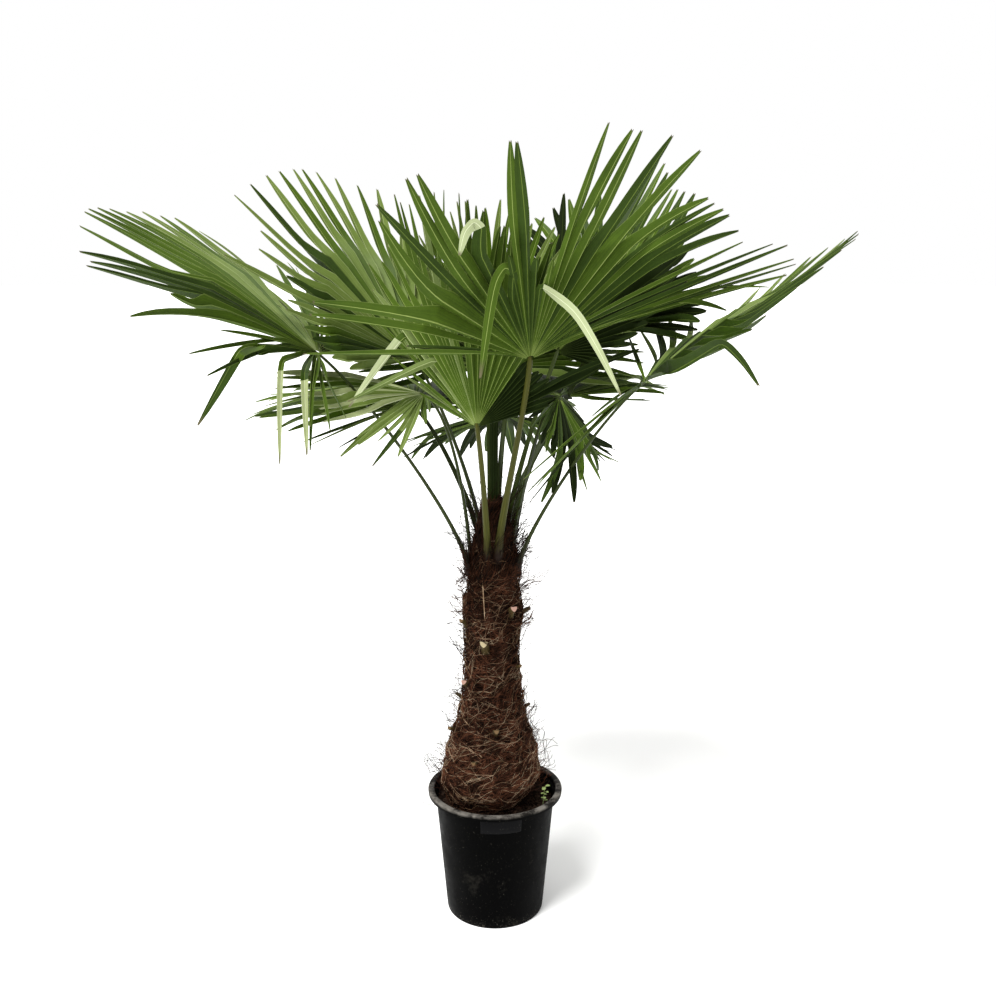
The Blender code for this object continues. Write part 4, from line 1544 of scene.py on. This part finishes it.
TUFT_FIBRE = Fibre("fibre_tufts", RED_FIBRE, 34000, 0.03, 0.08, 1.5, 1.3, 0.5, 0.0, 0.0, 0.14,
                   0.00060, 9)
grow_fibres(FRINGES, sleeve_mesh(), 31, "trunk")
grow_fibres([TUFT_FIBRE], tuft_mesh(), 34, "trunk")

# %% [markdown]
# ## The pot
#
# A nursery pot is thin black polypropylene, blown or moulded in one piece, with a wide
# rolled rim. It is a turned shape, so one profile from the middle of the base, up the
# outside, over the rim and down the inside gives all of it. The plastic is matt where it
# is scuffed, and its rim has worn to grey.

# %% Pot finish
SCUFFED_GLOSS = 0.02     # the pot is scuffed and dusty all over
SMEAR_PLACE = (-0.062, -0.138, 0.150)    # a hand's smear of dust on the front


def pot_material(name, black, dust_colour):
    """Black polypropylene: a dull gloss, with dust, scratches and a worn rim."""
    material, node, shader, coords = new_material(name, 0.45, SCUFFED_GLOSS, ior=1.49)
    split = node(AXES, {"Vector": coords["Object"]})
    broad = node(NOISE, {
        "Vector": coords["Object"], "Scale": 22.0, "Detail": 6.0, "Roughness": 0.7})
    specks = node(NOISE, {"Vector": coords["Object"], "Scale": 260.0, "Detail": 2.0})
    to_smear = node(VECTORS, {0: coords["Object"], 1: SMEAR_PLACE}, operation="DISTANCE")
    near_smear = node(RANGE, {"Value": to_smear}, span=(0.01, 0.075, 0.16, 0.0))
    smear = node(MATH, {0: broad, 1: near_smear}, operation="ADD")
    dusty = node(RANGE, {"Value": smear}, span=(0.60, 0.76, 0.0, 0.30))
    low_down = node(RANGE, {"Value": split.outputs["Z"]}, span=(0.0, 0.035, 0.15, 0.0))
    splashed = node(MATH, {0: specks, 1: low_down}, operation="ADD")
    grains = node(RANGE, {"Value": splashed}, span=(0.69, 0.74, 0.0, 1.0))
    dust = node(MATH, {0: dusty, 1: grains}, operation="MAXIMUM")
    dusted = node(MIX, {0: dust, 6: linear(black), 7: linear(dust_colour)}, data_type="RGBA")
    rim_height = node(MATH, {0: broad, 1: 0.004, 2: split.outputs["Z"]}, operation="MULTIPLY_ADD")
    on_rim = node(RANGE, {"Value": rim_height}, span=(0.3500, 0.3575, 0.0, 0.90))
    wear = node(RAMP, {"Fac": broad}, stops=((0.42, "1C1A18"), (0.60, "67635D")))
    worn = node(MIX, {0: on_rim, 6: dusted, 7: wear}, data_type="RGBA")
    rough = node(RANGE, {"Value": broad}, span=(0.3, 0.7, 0.36, 0.62))
    relief = node(BUMP, {"Height": specks, "Strength": 0.12, "Distance": 0.0005})
    fill(shader, {"Base Color": worn, "Roughness": rough, "Normal": relief})
    return material


POT_PLASTIC = pot_material("black moulded polypropylene", "010101", "32302B")
BAND_PLASTIC = pot_material("rubbed black polypropylene", "101011", "45433E")
print(POT_PLASTIC.name, "and", BAND_PLASTIC.name)

# %% Pot
POT_SIDES = 128
POT_INNER_LIP = 0.1665   # the rolled rim is 18 mm wide, as the photograph shows it
RIM_ROUND = 0.0045
POT_NECK = POT_HEIGHT - POT_LIP_DEPTH


def turned(name, profile, sides):
    """Turn a profile of (radius, height) points round the pot's axis into a closed shape."""
    rings = [circle(Vector((0, 0, height)), radius, sides) for radius, height in profile]
    mesh = build_mesh(name, *join_rings(rings, closed=True))
    mesh.set_sharp_from_angle(angle=radians(40))
    return mesh


def pot_wall_radius(height):
    """Outer radius of the pot's tapering wall at a height."""
    return POT_BASE_RADIUS + (POT_NECK_RADIUS - POT_BASE_RADIUS) * height / POT_NECK


def pot_profile():
    """Outside, rim and inside of the pot as one line."""
    base = POT_BASE_RADIUS
    profile = [(0.02, 0.0), (base - 0.010, 0.0), (base - 0.004, 0.0), (base - 0.001, 0.0015),
               (base + 0.0003, 0.005)]
    for i in range(1, 16):
        height = 0.005 + (POT_NECK - 0.010) * i / 15
        profile.append((pot_wall_radius(height), height))
    profile += [(POT_NECK_RADIUS + 0.004, POT_NECK - 0.0015), (POT_RIM_RADIUS - 0.004, POT_NECK),
                (POT_RIM_RADIUS - 0.001, POT_NECK + 0.0006)]
    rim_rounds = ((POT_RIM_RADIUS - RIM_ROUND, 0.0), (POT_INNER_LIP + RIM_ROUND, pi / 2))
    for middle, first_turn in rim_rounds:
        for i in range(7):
            turn = first_turn + pi / 12 * i
            profile.append((middle + RIM_ROUND * cos(turn),
                            POT_HEIGHT - RIM_ROUND + RIM_ROUND * sin(turn)))
    profile += [(POT_INNER_LIP, POT_NECK - 0.001),
                (POT_NECK_RADIUS - POT_WALL, POT_NECK - 0.008)]
    for i in range(1, 9):
        height = POT_NECK - 0.008 - (POT_NECK - 0.014) * i / 8
        profile.append((pot_wall_radius(height) - POT_WALL, height))
    profile.append((0.02, 0.005))
    return profile


pot = turned("nursery_pot", pot_profile(), POT_SIDES)
place_piece("nursery_pot", pot, [POT_PLASTIC], "pot", "pot")

# %% Pot bands
TAB_STEPS, TAB_RISES = 30, 10


def tab_mesh(bearing):
    """One raised band under the rim: a curved plate with soft edges."""
    verts = []
    faces = []
    half_turn = TAB_WIDTH / 2 / POT_NECK_RADIUS
    low = POT_NECK - TAB_HEIGHT - 0.002
    for back in (False, True):
        for i in range(TAB_STEPS + 1):
            across = 2 * i / TAB_STEPS - 1
            turn = radians(bearing) + half_turn * across
            for j in range(TAB_RISES + 1):
                up = 2 * j / TAB_RISES - 1
                height = low + TAB_HEIGHT * j / TAB_RISES
                edge = max(abs(across) ** 8, abs(up) ** 6)
                stand = 0.0002 if back else 0.0012 + 0.0026 * (1 - edge)
                radius = pot_wall_radius(height) + stand
                verts.append((radius * cos(turn), radius * sin(turn), height))
    row = TAB_RISES + 1
    count = len(verts) // 2
    for i in range(TAB_STEPS):
        for a in range(i * row, i * row + TAB_RISES):
            faces.append((a, a + row, a + row + 1, a + 1))
            faces.append([count + k for k in (a, a + 1, a + row + 1, a + row)])
    rim = [i * row for i in range(TAB_STEPS)]
    rim += [TAB_STEPS * row + j for j in range(TAB_RISES)]
    rim += [i * row + TAB_RISES for i in range(TAB_STEPS, 0, -1)]
    rim += range(TAB_RISES, 0, -1)
    for here, after in zip(rim, rim[1:] + rim[:1]):
        faces.append((here, here + count, after + count, after))
    mesh = build_mesh("pot_band", verts, faces)
    face_outward(mesh)
    return mesh


place_piece("pot_band_front", tab_mesh(TAB_BEARING), [BAND_PLASTIC], "pot", "tab_front")
place_piece("pot_band_back", tab_mesh(TAB_BEARING + 180), [BAND_PLASTIC], "pot", "tab_back")

# %% [markdown]
# ## Compost
#
# The pot is filled with dark composted bark. Its surface is crumbly and uneven, with
# bark pieces, pale rootlets, a little moss and one small seedling. The surface is a disc
# with noise relief. Geometry Nodes scatters the bark pieces, each a rough lump squeezed
# flat, and the fibre tree lays the rootlets.

# %% Compost finishes


def crumb_material(name, dark, light, scale):
    """Damp organic crumbs: very rough, with no shine."""
    crumbs = (NOISE, {"Scale": scale, "Detail": 6.0, "Roughness": 0.7})
    return grained_material(name, crumbs, ((0.35, dark), (0.66, light)), 0.92, 0.8, 0.003)


COMPOST = crumb_material("damp bark compost", "080504", "241A14", 120.0)
BARK_PIECES = crumb_material("bark pieces", "0E0907", "43342A", 60.0)
MOSS = crumb_material("moss", "4E5A16", "98A23A", 90.0)
SEEDLING_GREEN = crumb_material("soft young leaf", "66783C", "98A672", 90.0)
print(COMPOST.name, BARK_PIECES.name, MOSS.name, SEEDLING_GREEN.name, sep=", ")

# %% Compost surface
COMPOST_RINGS = 40
COMPOST_SIDES = 120
COMPOST_RADIUS = 0.1575
SKIRT_RADIUS = 0.150
SKIRT_DEPTH = 0.06


def compost_height(x, y):
    """The crumbly surface's height."""
    broad = noise.noise(Vector((x * 18, y * 18, 0.3))) * 0.007
    fine = noise.noise(Vector((x * 75, y * 75, 1.7))) * 0.005
    crumbs = noise.noise(Vector((x * 190, y * 190, 4.1))) * 0.0022
    return SOIL_TOP - 0.002 + broad + fine + crumbs


def compost_ring(middle, radius, sides, lift=0.0):
    """A ring of points that lie on the compost's surface, or just over it."""
    ring = circle(Vector(middle).to_3d(), radius, sides)
    for point in ring:
        point.z = compost_height(point.x, point.y) + lift
    return ring


def compost_piece():
    """A lumpy disc with a skirt that goes down inside the pot."""
    rings = [compost_ring((0, 0), COMPOST_RADIUS * (i + 1) / COMPOST_RINGS, COMPOST_SIDES)
             for i in range(COMPOST_RINGS)]
    rings.append(circle(Vector((0, 0, SOIL_TOP - SKIRT_DEPTH)), SKIRT_RADIUS, COMPOST_SIDES))
    verts, faces, uvs = join_rings(rings, flipped=True)
    top = len(verts)
    faces += [(top, i, (i + 1) % COMPOST_SIDES) for i in range(COMPOST_SIDES)]
    faces.append(range(top - 1, top - 1 - COMPOST_SIDES, -1))
    verts.append((0.0, 0.0, compost_height(0.0, 0.0)))
    mesh = build_mesh("compost", verts, faces)
    face_outward(mesh)
    return place_piece("compost", mesh, [COMPOST], "compost", "soil")


compost_piece()

# %% Lump tree


def lump_tree():
    """Rough lumps scattered on a surface: squeezed, turned, and dented by noise."""
    tree, node, take, result = new_node_group("scattered_lumps", (
        ("Density", "Float"), ("Smallest", "Float"), ("Largest", "Float"),
        ("Flatness", "Float"), ("Seed", "Int"), ("Finish", "Material")))
    spots = node("GeometryNodeDistributePointsOnFaces", {
        "Mesh": take["Geometry"], "Density": take["Density"], "Seed": take["Seed"]})
    ball = node("GeometryNodeMeshIcoSphere", {"Radius": 1.0, "Subdivisions": 2})
    size = node(RANDOM, {
        2: take["Smallest"], 3: take["Largest"], "Seed": take["Seed"]}, data_type="FLOAT")
    flat = node("ShaderNodeCombineXYZ", {"X": 1.0, "Y": 0.62, "Z": take["Flatness"]})
    scale = node(VECTORS, {0: flat, "Scale": size}, operation="SCALE")
    turn = node(RANDOM, {
        0: (-0.6, -0.6, 0.0), 1: (0.6, 0.6, 6.28), "Seed": take["Seed"]}, data_type="FLOAT_VECTOR")
    laid = node("GeometryNodeInstanceOnPoints", {
        "Points": spots, "Instance": ball, "Rotation": turn, "Scale": scale})
    whole = node("GeometryNodeRealizeInstances", {"Geometry": laid})
    dents = node(NOISE, {"Scale": 160.0, "Detail": 1.0})
    centred = node(VECTORS, {0: dents.outputs["Color"], 1: (0.5, 0.5, 0.5)}, operation="SUBTRACT")
    depth = node(MATH, {0: take["Largest"], 1: 1.3}, operation="MULTIPLY")
    push = node(VECTORS, {0: centred, "Scale": depth}, operation="SCALE")
    dented = node("GeometryNodeSetPosition", {"Geometry": whole, "Offset": push})
    painted = node("GeometryNodeSetMaterial", {"Geometry": dented, "Material": take["Finish"]})
    fill(result, {"Geometry": painted})
    return tree


LUMPS = lump_tree()
print(len(LUMPS.nodes), "nodes")

# %% Bark pieces and moss
PATCH_SIDES = 48
PATCH_RINGS = 8
# (middle, radius) of each moss patch
MOSS_PATCHES = (((0.018, -0.112), 0.012), ((0.036, -0.107), 0.007), ((-0.085, -0.085), 0.007))


def compost_patch(middle, radius, hole):
    """A round patch of the compost's surface to scatter things on, open in its middle."""
    rings = []
    for i in range(PATCH_RINGS + 1):
        reach = hole + (radius - hole) * i / PATCH_RINGS
        rings.append(compost_ring(middle, reach, PATCH_SIDES, lift=0.001))
    return build_mesh("patch", *join_rings(rings, flipped=True))


open_ground = compost_patch((0.0, 0.0), COMPOST_RADIUS - 0.008, 0.095)
bark = grown("bark_pieces", open_ground, LUMPS, {
    "Density": 22000.0, "Smallest": 0.0022, "Largest": 0.0075, "Flatness": 0.42, "Seed": 3,
    "Finish": BARK_PIECES})
place_piece("bark_pieces", bark, None, "compost")
cushions = []
for i, (middle, radius) in enumerate(MOSS_PATCHES):
    cushions.append(grown("moss", compost_patch(middle, radius, 0.0005), LUMPS, {
        "Density": 160000.0, "Smallest": 0.0010, "Largest": 0.0024, "Flatness": 0.8,
        "Seed": 8 + i, "Finish": MOSS}))
place_piece("moss", joined("moss", cushions), [MOSS], "compost")

# %% Rootlets
ROOTLETS = (
    Fibre("rootlets_pale", RED_FIBRE, 1400, 0.015, 0.05, 3.1, 0.0, 0.0, 0.93, 0.008, 0.05,
          0.00050, 8),
    Fibre("rootlets_dark", DARK_FIBRE, 3000, 0.015, 0.05, 3.1, 0.1, 0.1, 0.90, 0.010, 0.06,
          0.00050, 8),
)
grow_fibres(ROOTLETS, open_ground, 51, "compost")

# %% [markdown]
# ## Seedling
#
# A weed seedling has come up by the rim: a thin stem with small rounded leaves.
# It is only a few centimetres tall, so a thin stalk and flat leaf shapes of eight faces
# each are enough.

# %% Seedling
SEEDLING_FOOT = (0.130, -0.060)
SEEDLING_HEIGHT = 0.062
SEEDLING_LEAVES = 9
# (share of a leaf's length, half width there beside the widest)
LEAF_OUTLINE = ((0, 0.08), (0.3, 0.75), (0.6, 1.0), (0.85, 0.7), (1.0, 0.12))


def seedling_leaf(start, turn, length):
    """One small leaf: a strip that is folded a little along its spine."""
    out = (around(turn) + Vector((0, 0, 0.35))).normalized()
    side = out.cross(Vector((0, 0, 1))).normalized()
    verts = []
    for step, width in LEAF_OUTLINE:
        point = start + out * length * step - Vector((0, 0, 0.004 * step * step))
        for across in (-1, 0, 1):
            sink = Vector((0, 0, 0.0 if across else -0.0008))
            verts.append(point + side * across * width * length * 0.36 + sink)
    faces = [(a, a + 1, a + 4, a + 3) for k in range(0, 12, 3) for a in (k, k + 1)]
    return build_mesh("leaf", verts, faces, smooth=False)


def add_leaf_thickness(holder):
    """Give the seedling's leaves their thickness."""
    wall = holder.modifiers.new("Thickness", "SOLIDIFY")
    wall.thickness = 0.0004


def seedling_piece():
    """The stem and its leaves as one piece."""
    dice = Random(4)
    foot = Vector((*SEEDLING_FOOT, compost_height(*SEEDLING_FOOT)))
    path = [foot + Vector((0.006 * share * share, 0, SEEDLING_HEIGHT * share))
            for share in (0, 0.25, 0.5, 0.75, 1.0)]
    parts = [sweep(path, Vector((0, -1, 0)), [0.0007] * 5, "sprout")]
    for i in range(SEEDLING_LEAVES):
        share = 0.35 + 0.65 * i / (SEEDLING_LEAVES - 1)
        start = path[0].lerp(path[-1], share)
        parts.append(seedling_leaf(start, GOLDEN_TURN * i, dice.uniform(0.010, 0.016)))
    solid = evaluated_mesh(joined("seedling", parts), "seedling", add_leaf_thickness)
    return place_piece("seedling", solid, [SEEDLING_GREEN], "blade")


seedling_piece()
